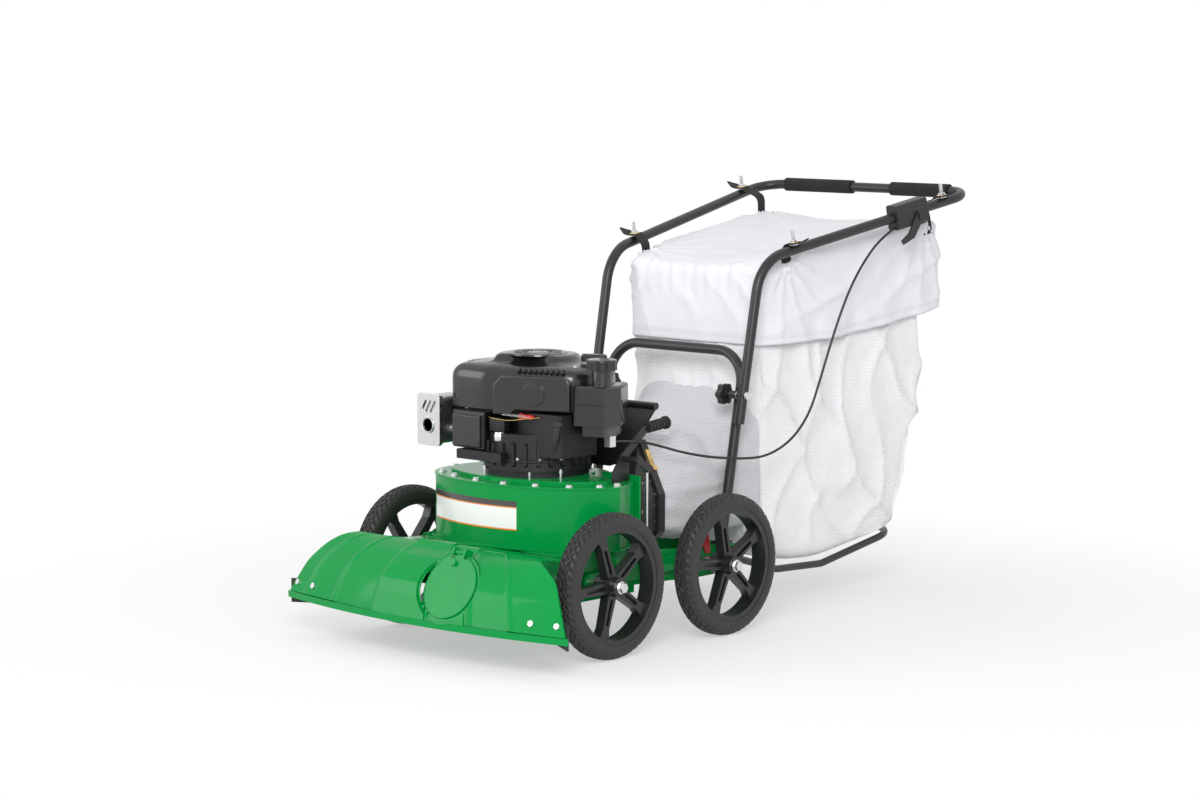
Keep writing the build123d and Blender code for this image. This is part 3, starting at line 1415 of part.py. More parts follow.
with BuildPart() as bag_straps:
    for fraction, hang in zip(stud_stations, (46.0, 78.0)):
        origin = side_point(fraction)
        reach = origin[0] - bag_half(upper_knee[0] + fraction * side_run[1] + strap_width) - 0.8
        over = tube_radius + washer + 0.1 + fit
        with BuildSketch(Plane(origin, x_dir=(1, 0, 0), z_dir=(0, -normal_length, -rise))):
            Polygon(
                (12, over), (12, over + strap_thickness), (-15.5, over + strap_thickness), (-reach, -6),
                (-reach, -hang),
                (strap_thickness - reach, -hang), (strap_thickness - reach, -7), (-13.5, over), align=None,
            )
        extrude(amount=strap_width / 2, both=True)
        with BuildSketch(stud_plane(fraction, 1)):
            Circle(stud_diameter / 2 + fit)
        extrude(amount=60, mode=Mode.SUBTRACT)
    mirror(about=Plane.YZ)
bag_straps.part.label = "bag_straps"
export_step(bag_straps.part, "parts/bag_straps.step")

cable_points = (
    (197, 116, 432), (199, 190, 427), (201, 262, 409), (203, 322, 391), (212, 392, 375), (226, 440, 368),
    (240, 490, 363),
    (250, 545, 362), (256, 600, 376), (260, 650, 404), (262, 695, 450), (262, 728, 515), (263, 757, 580),
    (265, 790, 650),
    (268, 825, 715), (271, 870, 772), (275, 925, 822), (279, 975, 845),
)
cable_end = Vector(cable_points[-1][0], behind(cable_points[-1][1]), cable_points[-1][2])
cable_before = Vector(cable_points[-2][0], behind(cable_points[-2][1]), cable_points[-2][2])
cable_end_plane = Plane(cable_end, z_dir=cable_end - cable_before)

throttle_fraction = 0.676
box_length = 98.0
box_height = 56.0
box_width = 34.0
throttle_origin = side_point(throttle_fraction)
throttle_plane = Plane(throttle_origin, x_dir=(side_dir[1], -side_dir[0], 0), z_dir=side_dir)
lever_axis = (18.0, 10.0)       # along the tube and below it
lever_stem = 4.0
with BuildPart() as throttle_housing:
    with BuildSketch(throttle_plane.offset(-box_length / 2)):
        RectangleRounded(box_width, box_height, 5)
    extrude(amount=box_length)
    with BuildSketch(throttle_plane.offset(-box_length)):
        Circle(tube_radius + running)
    extrude(amount=2 * box_length, mode=Mode.SUBTRACT)
    pivot_plane = Plane(
        throttle_plane.from_local_coords((box_width / 2, lever_axis[1], lever_axis[0])),
        x_dir=side_dir, z_dir=throttle_plane.x_dir,
    )
    with BuildSketch(pivot_plane):
        Circle(lever_stem + running)
    extrude(amount=-5, mode=Mode.SUBTRACT)
    # socket for the end of the throttle cable
    with BuildSketch(cable_end_plane.offset(-30)):
        Circle(cable_diameter / 2 + fit)
    extrude(amount=31, mode=Mode.SUBTRACT)
throttle_housing.part.label = "throttle_housing"
export_step(throttle_housing.part, "parts/throttle_housing.step")

with BuildPart() as throttle_lever:
    with BuildSketch(pivot_plane.offset(fit)):
        Circle(12)
        Polygon((-9, 8), (9, -8), (-26, -44), (-62, -52), (-66, -42), (-40, -30), align=None)
    extrude(amount=4)
    with BuildSketch(pivot_plane.offset(fit + 4)):
        RegularPolygon(6.5, 6)
    extrude(amount=4)
    with BuildSketch(pivot_plane.offset(fit + 1)):
        Circle(lever_stem)
    extrude(amount=-5)
throttle_lever.part.label = "throttle_lever"
export_step(throttle_lever.part, "parts/throttle_lever.step")

# ---------------------------------------------------------------- fold bolts and star knobs
bolt_shoulder = upper_foot_x + tube_radius + 1.2   # the leg leans outward a little
knob_outer = leg_x - tube_radius - 3.0
knob_depth = 20.0
knob_radius = 24.0
knob_lobes = 6
bolt_end = knob_outer - knob_depth + 4
with BuildPart() as handle_bolts:
    for side in (-1, 1):
        with BuildSketch(side_plane(side * bolt_shoulder, behind(pivot_behind), pivot_height)):
            Circle(9.5)
        extrude(amount=side * 4, taper=20)
        with BuildSketch(side_plane(side * (bolt_shoulder + 1), behind(pivot_behind), pivot_height)):
            Circle(pivot_bolt / 2)
        extrude(amount=-side * (bolt_shoulder + 1 - bolt_end))
        spacer = side * (leg_x + tube_radius + 0.2)
        with BuildSketch(side_plane(spacer, behind(pivot_behind), pivot_height)):
            Circle(9)
        extrude(amount=side * 1.2)
handle_bolts.part.label = "handle_bolts"
export_step(handle_bolts.part, "parts/handle_bolts.step")

for side, name in ((1, "left"), (-1, "right")):
    with BuildPart() as star_knob:
        with BuildSketch(side_plane(side * (knob_outer - knob_depth), behind(pivot_behind), pivot_height)):
            Circle(knob_radius - 4)
            with PolarLocations(knob_radius - 7, knob_lobes):
                Circle(7)
        extrude(amount=side * (knob_depth - 6))
        with BuildSketch(side_plane(side * (knob_outer - 6), behind(pivot_behind), pivot_height)):
            Circle(10)
        extrude(amount=side * 6)
        with BuildSketch(side_plane(side * (knob_outer + 1), behind(pivot_behind), pivot_height)):
            Circle(pivot_bolt / 2 + running)
        extrude(amount=-side * (knob_outer + 1 - bolt_end + fit), mode=Mode.SUBTRACT)
    star_knob.part.label = f"star_knob_{name}"
    export_step(star_knob.part, f"parts/star_knob_{name}.step")

# ---------------------------------------------------------------- small parts
latch_corners = slanted_corners(*rim_sides, 54, 109, 14, rib_rise + clamp_thickness)
latch_low, latch_high = latch_corners[4], latch_corners[5]
latch_run = hypot(latch_high[0] - latch_low[0], latch_high[1] - latch_low[1])
latch_along = ((latch_high[0] - latch_low[0]) / latch_run, (latch_high[1] - latch_low[1]) / latch_run)
latch_out = (latch_along[1], -latch_along[0])
latch_length = 46.0
latch_hinge = 0.78              # place of its hinge up the slanted side
latch_rise = latch_hinge * latch_run
latch_plane = Plane(
    (latch_low[0] + latch_rise * latch_along[0], behind(rim_behind), latch_low[1] + latch_rise * latch_along[1]),
    x_dir=(latch_along[0], 0, latch_along[1]), z_dir=(latch_out[0], 0, latch_out[1]),
)
with BuildPart() as clamp_latch:
    with BuildSketch(latch_plane.offset(0.2)):
        with Locations((-latch_length / 2 + 3, 0)):
            Rectangle(latch_length, 13)
    extrude(amount=3.5)
    with BuildSketch(latch_plane.offset(0.2)):
        with Locations((-latch_length + 6, 0)):
            Rectangle(8, 13)
    extrude(amount=8)
    with BuildSketch(Plane(latch_plane.from_local_coords((3, 6.5, 1.95)), z_dir=(0, 1, 0))):
        Circle(1.75)
    extrude(amount=13)
clamp_latch.part.label = "clamp_latch"
export_step(clamp_latch.part, "parts/clamp_latch.step")

tab_pivot = (386.0, 172.0)
tab_stem = 4.0
with BuildPart() as brake_tab:
    with BuildSketch(side_plane(frame_half + fit)):
        with BuildLine():
            Polyline(
                (behind(379), 167), (behind(393), 167), (behind(386), 212), (behind(356), 212), (behind(358), 202),
                close=True,
            )
        make_face()
    extrude(amount=3)
    with BuildSketch(side_plane(frame_half + 1, behind(tab_pivot[0]), tab_pivot[1] + 2)):
        Circle(tab_stem)
    extrude(amount=-5)
brake_tab.part.label = "brake_tab"
export_step(brake_tab.part, "parts/brake_tab.step")

cover_bolts = (
    (-186, -6), (-120, -36), (-40, -52), (40, -52), (112, -31), (176, 3), (222, 46), (234, 88),
    (-222, 70), (-214, 140), (-150, 204), (-40, 240),
)
with BuildPart() as zinc_bolts:
    for x, y in cover_bolts:
        with BuildSketch(Plane.XY.offset(housing_top)):
            with Locations((x, behind(y))):
                Circle(9)
        extrude(amount=1.5)
        with BuildSketch(Plane.XY.offset(housing_top + 1.5)):
            with Locations((x, behind(y))):
                RegularPolygon(6.5, 6)
        extrude(amount=4.5)
    # through the chute's flange
    for z in (deck_height + 16, deck_height + housing_height / 2, housing_top - 6):
        with BuildSketch(facing_plane(behind(chute_start + 5.1), flange_left - 5, z)):
            RegularPolygon(4, 6)
        extrude(amount=-4)
zinc_bolts.part.label = "zinc_bolts"
export_step(zinc_bolts.part, "parts/zinc_bolts.step")

# ---------------------------------------------------------------- throttle cable and its clip
def cord_radii(points):
    """Bend radius at each inner point: 0.45 of the shorter neighbour run over the tangent of half its turn."""
    radii = []
    for a, b, c in zip(points, points[1:], points[2:]):
        u, v = [q - p for p, q in zip(a, b)], [q - p for p, q in zip(b, c)]
        lu, lv = sum(i * i for i in u) ** 0.5, sum(i * i for i in v) ** 0.5
        turn = acos(max(-1, min(1, sum(i * j for i, j in zip(u, v)) / lu / lv)))
        radii.append(0.45 * min(lu, lv) / tan(turn / 2))
    return radii


cable_radii = cord_radii(cable_points)
with BuildPart() as throttle_cable:
    with BuildLine() as cable_line:
        FilletPolyline(*[(x, behind(y), z) for x, y, z in cable_points], radius=cable_radii)
    with BuildSketch(Plane(cable_line.line @ 0, z_dir=cable_line.line % 0)):
        Circle(cable_diameter / 2)
    sweep()
throttle_cable.part.label = "throttle_cable"
export_step(throttle_cable.part, "parts/throttle_cable.step")

with BuildPart() as cable_clamp:
    with Locations((cable_points[0][0], behind(106), tank_bottom - 24)):
        Box(16, 18, 24, align=(Align.CENTER, Align.CENTER, Align.MIN))
    with Locations(Location((cable_points[0][0], behind(116), cable_points[0][2]), (90, 0, 0))):
        Cylinder(cable_diameter / 2 + fit, 12, mode=Mode.SUBTRACT)
cable_clamp.part.label = "cable_clamp"
export_step(cable_clamp.part, "parts/cable_clamp.step")
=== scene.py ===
"""Looks of a walk-behind leaf vacuum over its CAD frame: finishes, sewn bag, tyre tread, cable, small trim."""

import json
import math

import bmesh
import bpy
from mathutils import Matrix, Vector, noise

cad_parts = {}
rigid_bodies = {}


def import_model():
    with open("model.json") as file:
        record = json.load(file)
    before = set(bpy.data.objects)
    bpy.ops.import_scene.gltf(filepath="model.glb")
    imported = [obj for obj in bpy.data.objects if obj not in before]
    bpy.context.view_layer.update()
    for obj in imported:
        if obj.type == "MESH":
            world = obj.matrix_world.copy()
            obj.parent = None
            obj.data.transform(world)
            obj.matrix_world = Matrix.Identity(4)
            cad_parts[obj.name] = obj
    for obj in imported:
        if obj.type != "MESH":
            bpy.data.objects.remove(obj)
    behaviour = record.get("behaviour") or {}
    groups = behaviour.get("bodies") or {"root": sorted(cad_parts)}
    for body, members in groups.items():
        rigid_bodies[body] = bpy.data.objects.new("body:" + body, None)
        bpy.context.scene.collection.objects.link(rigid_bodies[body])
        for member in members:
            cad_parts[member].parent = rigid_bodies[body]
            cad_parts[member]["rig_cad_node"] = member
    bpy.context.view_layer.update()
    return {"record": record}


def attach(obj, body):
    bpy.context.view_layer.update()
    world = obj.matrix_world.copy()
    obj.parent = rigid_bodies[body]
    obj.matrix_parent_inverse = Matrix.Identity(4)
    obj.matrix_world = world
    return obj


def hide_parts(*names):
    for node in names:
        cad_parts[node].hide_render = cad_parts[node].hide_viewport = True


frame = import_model()
NODES = {o.name: o for o in bpy.data.objects if "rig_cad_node" in o}
FRONT_AXLE_Y = -0.4734
UP = Vector((0, 0, 1))


# ---------------------------------------------------------------- materials
class Field:
    """A shader socket that can be used like a number in sums, products and comparisons."""

    def __init__(self, surface, socket):
        self.surface = surface
        self.socket = socket

    def math(self, operation, other=None):
        return self.surface.node("ShaderNodeMath", [self, other], operation=operation)

    def __add__(self, other):
        return self.math("ADD", other)

    def __sub__(self, other):
        return self.math("SUBTRACT", other)

    def __rsub__(self, other):
        return self.surface.node("ShaderNodeMath", [other, self], operation="SUBTRACT")

    def __mul__(self, other):
        return self.math("MULTIPLY", other)

    def __truediv__(self, other):
        return self.math("DIVIDE", other)

    __radd__ = __add__
    __rmul__ = __mul__

    def above(self, other):
        return self.math("GREATER_THAN", other)

    def below(self, other):
        return self.math("LESS_THAN", other)

    def sine(self):
        return self.math("SINE")

    def absolute(self):
        return self.math("ABSOLUTE")

    def clamp(self):
        """This field, kept between 0 and 1."""
        return self.math("MAXIMUM", 0.0).math("MINIMUM", 1.0)

    def spread(self, low, high):
        """This field, which runs from 0 to 1, stretched to run from low to high."""
        return self * (high - low) + low


class Surface:
    """One node material: a Principled shader and the fields that feed it."""

    NOISE_ROUGHNESS = 0.55

    def __init__(self, name, color, roughness, metallic=0.0, **sockets):
        self.material = bpy.data.materials.new(name)
        self.material.use_nodes = True
        self.tree = self.material.node_tree
        self.shader = self.tree.nodes["Principled BSDF"]
        self.put("Base Color", (*color, 1.0))
        self.put("Roughness", roughness)
        self.put("Metallic", metallic)
        for socket, value in sockets.items():
            self.put(socket.replace("_", " "), value)
        self.relief = None

    def node(self, kind, inputs=(), output=0, **settings):
        """Any shader node, its inputs given in order or by name, as a Field of one of its outputs."""
        made = self.tree.nodes.new(kind)
        for key, value in settings.items():
            setattr(made, key, value)
        pairs = inputs.items() if isinstance(inputs, dict) else enumerate(inputs)
        for key, value in pairs:
            self.feed(made.inputs[key], value)
        return Field(self, made.outputs[output])

    def feed(self, socket, value):
        if isinstance(value, Field):
            self.tree.links.new(value.socket, socket)
        elif value is not None:
            socket.default_value = value

    def put(self, socket, value):
        self.feed(self.shader.inputs[socket], value)
        return self

    def place(self):
        """The object's own coordinates, in metres."""
        return self.node("ShaderNodeTexCoord", output="Object")

    def axis(self, letter):
        return self.node("ShaderNodeSeparateXYZ", [self.place()], output=letter)

    def noise(self, scale, detail=3.0, stretch=(1, 1, 1)):
        """Smooth noise from 0 to 1, its lumps one over scale metres across."""
        spot = self.node("ShaderNodeMapping", {"Vector": self.place(), "Scale": stretch})
        inputs = {"Vector": spot, "Scale": scale, "Detail": detail, "Roughness": self.NOISE_ROUGHNESS}
        return self.node("ShaderNodeTexNoise", inputs)

    def mix(self, field, first, second):
        """A colour that runs from first to second as field runs from 0 to 1."""
        ends = [tone if isinstance(tone, Field) else (*tone, 1.0) for tone in (first, second)]
        return self.node("ShaderNodeMix", {0: field, 6: ends[0], 7: ends[1]}, output=2, data_type="RGBA")

    def bump(self, field, depth, strength=1.0):
        """Adds relief of a depth in metres on top of what the surface has."""
        inputs = {"Height": field, "Distance": depth, "Strength": strength}
        made = self.node("ShaderNodeBump", inputs, output="Normal")
        if self.relief is not None:
            self.feed(made.socket.node.inputs["Normal"], self.relief)
        self.relief = made
        return self.put("Normal", made)


class Surround(Surface):
    """The nodes of the world, fed in the same way."""

    def __init__(self, tree):
        self.tree = tree


def shade(color, factor):
    return tuple(min(1.0, c * factor) for c in color)


def painted(name, color, roughness, coat, peel):
    """Sprayed paint: orange peel, a slightly uneven gloss and a trace of dust."""
    dust = 0.06
    sockets = {"Coat_Weight": coat, "Coat_Roughness": 0.05, "Specular_IOR_Level": 0.1}
    paint = Surface(name, color, roughness, **sockets)
    cloud = paint.noise(6.0, detail=4)
    paint.put("Base Color", paint.mix(cloud, shade(color, 1 - dust), shade(color, 1 + dust)))
    paint.put("Roughness", paint.noise(22.0).spread(roughness * 0.8, roughness * 1.25))
    return paint.bump(paint.noise(260.0, detail=1), peel, 0.5)


def moulded(name, color, roughness, grain=1500.0, depth=0.00008, **sockets):
    """Moulded plastic or powder coat: a fine even grain and faint handling marks."""
    plastic = Surface(name, color, roughness, **sockets)
    plastic.put("Roughness", plastic.noise(35.0, detail=5).spread(roughness * 0.82, roughness * 1.2))
    plastic.put("Base Color", plastic.mix(plastic.noise(9.0), shade(color, 0.85), shade(color, 1.2)))
    return plastic.bump(plastic.noise(grain, detail=2), depth, 0.7)


def metal(name, color, roughness, stretch=(1, 1, 1), scale=300.0, depth=0.00003):
    """Bare or plated metal with marks drawn out along one axis."""
    plate = Surface(name, color, roughness, metallic=1.0)
    marks = plate.noise(scale, detail=4, stretch=stretch)
    plate.put("Roughness", marks.spread(roughness * 0.7, roughness * 1.35))
    plate.put("Base Color", plate.mix(plate.noise(40.0), shade(color, 0.86), shade(color, 1.08)))
    return plate.bump(marks, depth, 0.6)


def cloth(name, color, pitch, holes):
    """Woven bag cloth: two sets of threads a pitch apart, with rows of holes coloured darker by a share, as
    painted shade seen through them.
    """
    weave = Surface(name, color, 0.86, Sheen_Weight=0.25, Sheen_Roughness=0.4)
    turns = 2 * math.pi / pitch
    across = ((weave.axis("Y") + weave.axis("X")) * turns).sine()
    along = (weave.axis("Z") * turns).sine()
    threads = across.math("MAXIMUM", along)
    tone = weave.mix(weave.noise(14.0, detail=4), shade(color, 0.96), shade(color, 1.03))
    # Painted shade: level rows are coloured darker for the shade inside the bag seen through the holes.
    rows = (weave.axis("Z") * (turns / 2)).sine().spread(0.0, holes).clamp()
    weave.put("Base Color", weave.mix(rows, tone, shade(color, 0.72)))
    weave.bump(threads, pitch * holes, 0.8)
    return weave.bump(weave.noise(35.0, detail=3), 0.0012, 0.5)


def banded(name, bands):
    """A printed plastic panel in plain level bands, from (height in metres, colour) rows that rise."""
    printed = Surface(name, bands[0][1], 0.3, Coat_Weight=0.3, Coat_Roughness=0.1)
    height = printed.axis("Z")
    tone = bands[0][1]
    for start, color in bands[1:]:
        tone = printed.mix(height.above(start), tone, color)
    printed.put("Base Color", tone)
    printed.put("Roughness", printed.noise(60.0).spread(0.24, 0.36))
    return printed.bump(printed.noise(400.0), 0.00003, 0.5)


HEM_BEND, HEM_SLOPE, HEM_LEVEL, HEM_DEPTH = 0.811, 0.137, 0.6, 0.021
STITCH_ROWS, STITCH_HALF, STITCH_PITCH = (0.013, 0.0175), 0.0008, 0.0045


def stitched_hem(weave):
    """A folded hem along the free edge of the upper cloth, sewn with two rows of stitches."""
    behind = weave.axis("Y") - FRONT_AXLE_Y
    above = weave.axis("Z") - ((behind - HEM_BEND).clamp() * HEM_SLOPE + HEM_LEVEL)
    dashes = ((weave.axis("X") + behind) * (2 * math.pi / STITCH_PITCH)).sine().above(-0.4)
    for row in STITCH_ROWS:
        weave.bump(1 - (above - row).absolute().below(STITCH_HALF) * dashes, 0.0009, 0.9)
    weave.bump(above.below(HEM_DEPTH), 0.0007, 0.7)


green = painted("green_gloss_paint", (0.0, 0.26, 0.05), 0.22, 0.16, peel=0.00004)
black_coat = moulded("black_powder_coat", (0.012, 0.012, 0.013), 0.38, grain=2200.0, depth=0.00006)
black_plastic = moulded("black_plastic", (0.014, 0.014, 0.015), 0.45)
engine_gloss = moulded("engine_plastic", (0.011, 0.011, 0.012), 0.24, depth=0.000008, Coat_Weight=0.25)
wheel_plastic = moulded("wheel_plastic", (0.013, 0.013, 0.014), 0.36, grain=900.0, depth=0.00005)
tyre_rubber = moulded("tyre_rubber", (0.018, 0.0175, 0.017), 0.5, grain=500.0)
soft_rubber = moulded("soft_rubber", (0.014, 0.014, 0.014), 0.62, grain=700.0)
foam = moulded("grip_foam", (0.013, 0.013, 0.014), 0.93, grain=420.0, depth=0.0006)
zinc = metal("zinc_plate", (0.70, 0.71, 0.72), 0.30)
steel = metal("bare_steel", (0.48, 0.48, 0.49), 0.36, stretch=(1, 1, 12))
cast = metal("cast_alloy", (0.045, 0.045, 0.048), 0.5, scale=700.0, depth=0.0002)
guard_metal = metal("guard_steel", (0.66, 0.66, 0.66), 0.26, stretch=(14, 1, 1))
brass = metal("brass", (0.72, 0.50, 0.20), 0.28)
red = moulded("red_plastic", (0.55, 0.02, 0.015), 0.35)
strap_cloth = moulded("strap_webbing", (0.014, 0.014, 0.015), 0.85, grain=900.0, depth=0.0003)
ORANGE, OFF_WHITE, CHARCOAL = (0.80, 0.22, 0.01), (0.84, 0.84, 0.83), (0.05, 0.045, 0.042)
panel_print = banded("panel_print", ((0.0, ORANGE), (0.2535, OFF_WHITE), (0.2975, ORANGE), (0.3, CHARCOAL)))
flap_cloth = cloth("flap_cloth", (0.79, 0.80, 0.84), 0.0012, 0.06)
mesh_cloth = cloth("mesh_cloth", (0.88, 0.885, 0.905), 0.0040, 0.13)
stitched_hem(flap_cloth)
# Painted shade: the sleeve's cloth is the bag's mesh cloth coloured darker, for the shadow that the sleeve
# hangs in.
sleeve_cloth_painted_shade = cloth("sleeve_cloth_painted_shade", (0.66, 0.665, 0.69), 0.0040, 0.16)

FINISH = {
    "green_paint": green, "black_paint": black_coat, "black_plastic": black_plastic,
    "engine_plastic": engine_gloss, "tyre_rubber": tyre_rubber, "wheel_plastic": wheel_plastic, "foam": foam,
    "rubber": soft_rubber, "zinc": zinc, "steel": steel, "cast_alloy": cast, "guard_steel": guard_metal,
    "brass": brass, "bag_cloth": flap_cloth, "strap": strap_cloth, "red_plastic": red,
}


def dress_frame():
    """Gives every CAD node its finish, by the record's material slot."""
    for part in frame["record"]["subparts"]:
        for place in NODES[part["node"]].material_slots:
            place.material = FINISH[part["material_slot"]].material


# ---------------------------------------------------------------- pieces
def piece(name, mesh, surface, body, smooth=35.0):
    """A new object made of a mesh or bmesh, shaded, painted and riding on a body."""
    if isinstance(mesh, bmesh.types.BMesh):
        made = bpy.data.meshes.new(name)
        bmesh.ops.recalc_face_normals(mesh, faces=mesh.faces)
        mesh.to_mesh(made)
        mesh.free()
        mesh = made
    thing = bpy.data.objects.new(name, mesh)
    bpy.context.collection.objects.link(thing)
    mesh.materials.append(surface.material)
    if smooth:
        mesh.shade_smooth()
        mesh.set_sharp_from_angle(angle=math.radians(smooth))
    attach(thing, body)
    return thing


def trim(name, mesh, finish, smooth=35.0):
    """A small piece on the machine's body, in the look of its slot."""
    return piece(name, mesh, FINISH[finish], "machine", smooth)


def spot(x, behind, z):
    """A place in millimetres: across, behind the front axle and up."""
    return Vector((x / 1000, behind / 1000 + FRONT_AXLE_Y, z / 1000))


def kept(value, low=0.0, high=1.0):
    """A number kept between two limits."""
    return min(high, max(low, value))


def between(table, value):
    """Reads a table of rows that begin with a rising number: straight between rows, level beyond them."""
    if value <= table[0][0]:
        return table[0][1]
    for (low, first), (high, second) in zip(table, table[1:]):
        if value <= high:
            return first + (second - first) * (value - low) / (high - low)
    return table[-1][1]


def lofted(rings, closed=True, ends=True, loop=False):
    """Quads between rings of equally many places.

    closed joins each ring's last place to its first, ends closes the first and last ring with a face each,
    and loop joins the last ring to the first.
    """
    skin = bmesh.new()
    rows = [[skin.verts.new(place) for place in ring] for ring in rings]
    count = len(rows[0])
    for row, after in zip(rows, rows[1:] + rows[:1] if loop else rows[1:]):
        for i in range(count if closed else count - 1):
            j = (i + 1) % count
            skin.faces.new((row[i], row[j], after[j], after[i]))
    if closed and ends:
        skin.faces.new(rows[0][::-1])
        skin.faces.new(rows[-1])
    return skin


def turned(profile, origin, axis=UP, segments=48):
    """A turned piece: pairs of radius and height in millimetres, about an axis through a place."""
    axis = Vector(axis).normalized()
    first = axis.orthogonal().normalized()
    second = axis.cross(first)
    rings = []
    for radius, height in profile:
        ring = []
        for i in range(segments):
            angle = 2 * math.pi * i / segments
            out = first * math.cos(angle) + second * math.sin(angle)
            ring.append(origin + (out * radius + axis * height) / 1000)
        rings.append(ring)
    return lofted(rings)


def tube(places, radius, segments=10):
    """A round wire of a radius in millimetres along a line of places."""
    slanted = Vector((0.13, 0.31, 0.94))
    turns = [2 * math.pi * j / segments for j in range(segments)]
    rings = []
    for i, place in enumerate(places):
        along = (places[min(i + 1, len(places) - 1)] - places[max(i - 1, 0)]).normalized()
        side = along.cross(slanted).normalized()
        rise = side.cross(along)
        rings.append([place + (side * math.cos(t) + rise * math.sin(t)) * radius / 1000 for t in turns])
    return lofted(rings)


def smooth_line(places, steps=8):
    """Places along a soft curve through the given ones."""
    line = []
    last = len(places) - 1
    for i in range(last):
        before, a, b, after = places[max(i - 1, 0)], places[i], places[i + 1], places[min(i + 2, last)]
        for k in range(steps):
            t = k / steps
            line.append(
                0.5 * (2 * a + (b - before) * t + (2 * before - 5 * a + 4 * b - after) * t ** 2
                       + (3 * a - before - 3 * b + after) * t ** 3)
            )
    return line + [places[-1]]


def soft_outline(corners, steps, passes):
    """A closed outline through flat corners, in steps for each side, its corners softened by a few passes."""
    outline = []
    for corner, after in zip(corners, corners[1:] + corners[:1]):
        for step in range(steps):
            outline.append(Vector([a + (b - a) * step / steps for a, b in zip(corner, after)]))
    count = len(outline)
    for _ in range(passes):
        outline = [(outline[i - 1] + 2 * outline[i] + outline[(i + 1) % count]) / 4 for i in range(count)]
    return outline


def facing(angle):
    """The level directions outward and sideways at an angle about an upright axis."""
    out = Vector((math.cos(angle), math.sin(angle), 0))
    return out, Vector((-out.y, out.x, 0))


def box_cage(across, along, up, place, open_sides=()):
    """The skin of a box in quads, each corner placed by place(i, j, k), whose shares run from 0 to 1."""
    cage = bmesh.new()
    corners = {}

    def corner(i, j, k):
        if (i, j, k) not in corners:
            corners[i, j, k] = cage.verts.new(place(i / across, j / along, k / up))
        return corners[i, j, k]

    sides = {
        "bottom": (across, along, lambda a, b: (a, b, 0)), "top": (across, along, lambda a, b: (a, b, up)),
        "front": (across, up, lambda a, b: (a, 0, b)), "back": (across, up, lambda a, b: (a, along, b)),
        "right": (along, up, lambda a, b: (0, a, b)), "left": (along, up, lambda a, b: (across, a, b)),
    }
    for name, (columns, rows, cell) in sides.items():
        if name in open_sides:
            continue
        for a in range(columns):
            for b in range(rows):
                cage.faces.new([corner(*cell(a + s, b + t)) for s, t in ((0, 0), (1, 0), (1, 1), (0, 1))])
    return cage


def rounded(cage, levels):
    """A cage turned into a mesh, made smooth by subdivision."""
    mesh = bpy.data.meshes.new("cage")
    bmesh.ops.recalc_face_normals(cage, faces=cage.faces)
    cage.to_mesh(mesh)
    cage.free()
    thing = bpy.data.objects.new("cage", mesh)
    bpy.context.collection.objects.link(thing)
    if levels:
        soften = thing.modifiers.new("soften", "SUBSURF")
        soften.levels = levels
    view = bpy.context.evaluated_depsgraph_get()
    made = bpy.data.meshes.new_from_object(thing.evaluated_get(view))
    bpy.data.objects.remove(thing)
    bpy.data.meshes.remove(mesh)
    return made


def draped(mesh, fold):
    """Moves each point of a mesh along its normal by fold(place, normal), all in millimetres."""
    normals = [point.normal.copy() for point in mesh.vertices]
    for point, normal in zip(mesh.vertices, normals):
        x, y, z = point.co
        point.co += normal * fold(Vector((x, y - FRONT_AXLE_Y, z)) * 1000, normal) / 1000
    mesh.update()
    return mesh


def ridge(phase):
    """A soft crease at every whole number."""
    return (1 - abs(math.sin(math.pi * phase))) ** 2


def cloud(place, size):
    """Smooth noise of about plus or minus one half, with lumps of a size in millimetres."""
    return noise.noise(place / size)


def louvre(into, place, long_way, short_way, outward, length, width, height):
    """Adds one raised rib with sloping sides to a mesh."""
    sunk, crown_length, crown_width = 0.0006, 0.42, 0.3
    base, crown = [], []
    for s, t in ((-1, -1), (1, -1), (1, 1), (-1, 1)):
        foot = place + long_way * length * s / 2 + short_way * width * t / 2 - outward * sunk
        sloped = long_way * length * s * crown_length + short_way * width * t * crown_width
        top = place + sloped + outward * height
        base.append(into.verts.new(foot))
        crown.append(into.verts.new(top))
    into.faces.new(crown)
    for i in range(4):
        j = (i + 1) % 4
        into.faces.new((base[i], base[j], crown[j], crown[i]))


def bolt(name, place, radius):
    """A flanged bolt head of a radius in millimetres, standing on its seat."""
    flange = radius * 1.3
    head = [(flange, 0), (flange, 0.8), (radius, 1.2), (radius, radius * 1.1), (radius * 0.8, radius * 1.3)]
    trim(name, turned(head, place, segments=12), "zinc", smooth=30)


# ---------------------------------------------------------------- collection bag
BAG_FRONT, BAG_BACK = 606.0, 1205.0
BAG_FRONT_HALF, BAG_FLARE = 198, 50
BAG_FLOOR = ((606, 128), (700, 107), (800, 102.5), (1072, 147.5), (1110, 260))
BAG_TOP = ((600, 774), (640, 786), (900, 838), (1100, 862), (1205, 848))
BODY_BACK = ((105, 1046), (140, 1056), (212, 1090), (384, 1118), (500, 1160), (560, 1150), (650, 1130))
BODY_TUCK, BODY_GAP = 26, 3
FLAP_BACK = ((600, 1214), (655, 1212), (768, 1204), (850, 1190))
FLAP_GAP, FLAP_SAG, FLAP_SHEET = 2, 20, 0.0016
HEM = ((600, 597), (811, 601), (933, 612), (1026, 625), (1130, 639), (1214, 655))
STUDS_BEHIND = (669, 1129)
SEAM_BEHIND = 612
SETTLING_ROUNDS = 8


def bag_half(behind):
    """Half width of the bag at a distance behind the front axle."""
    return BAG_FRONT_HALF + BAG_FLARE * (behind - BAG_FRONT) / (BAG_BACK - BAG_FRONT)


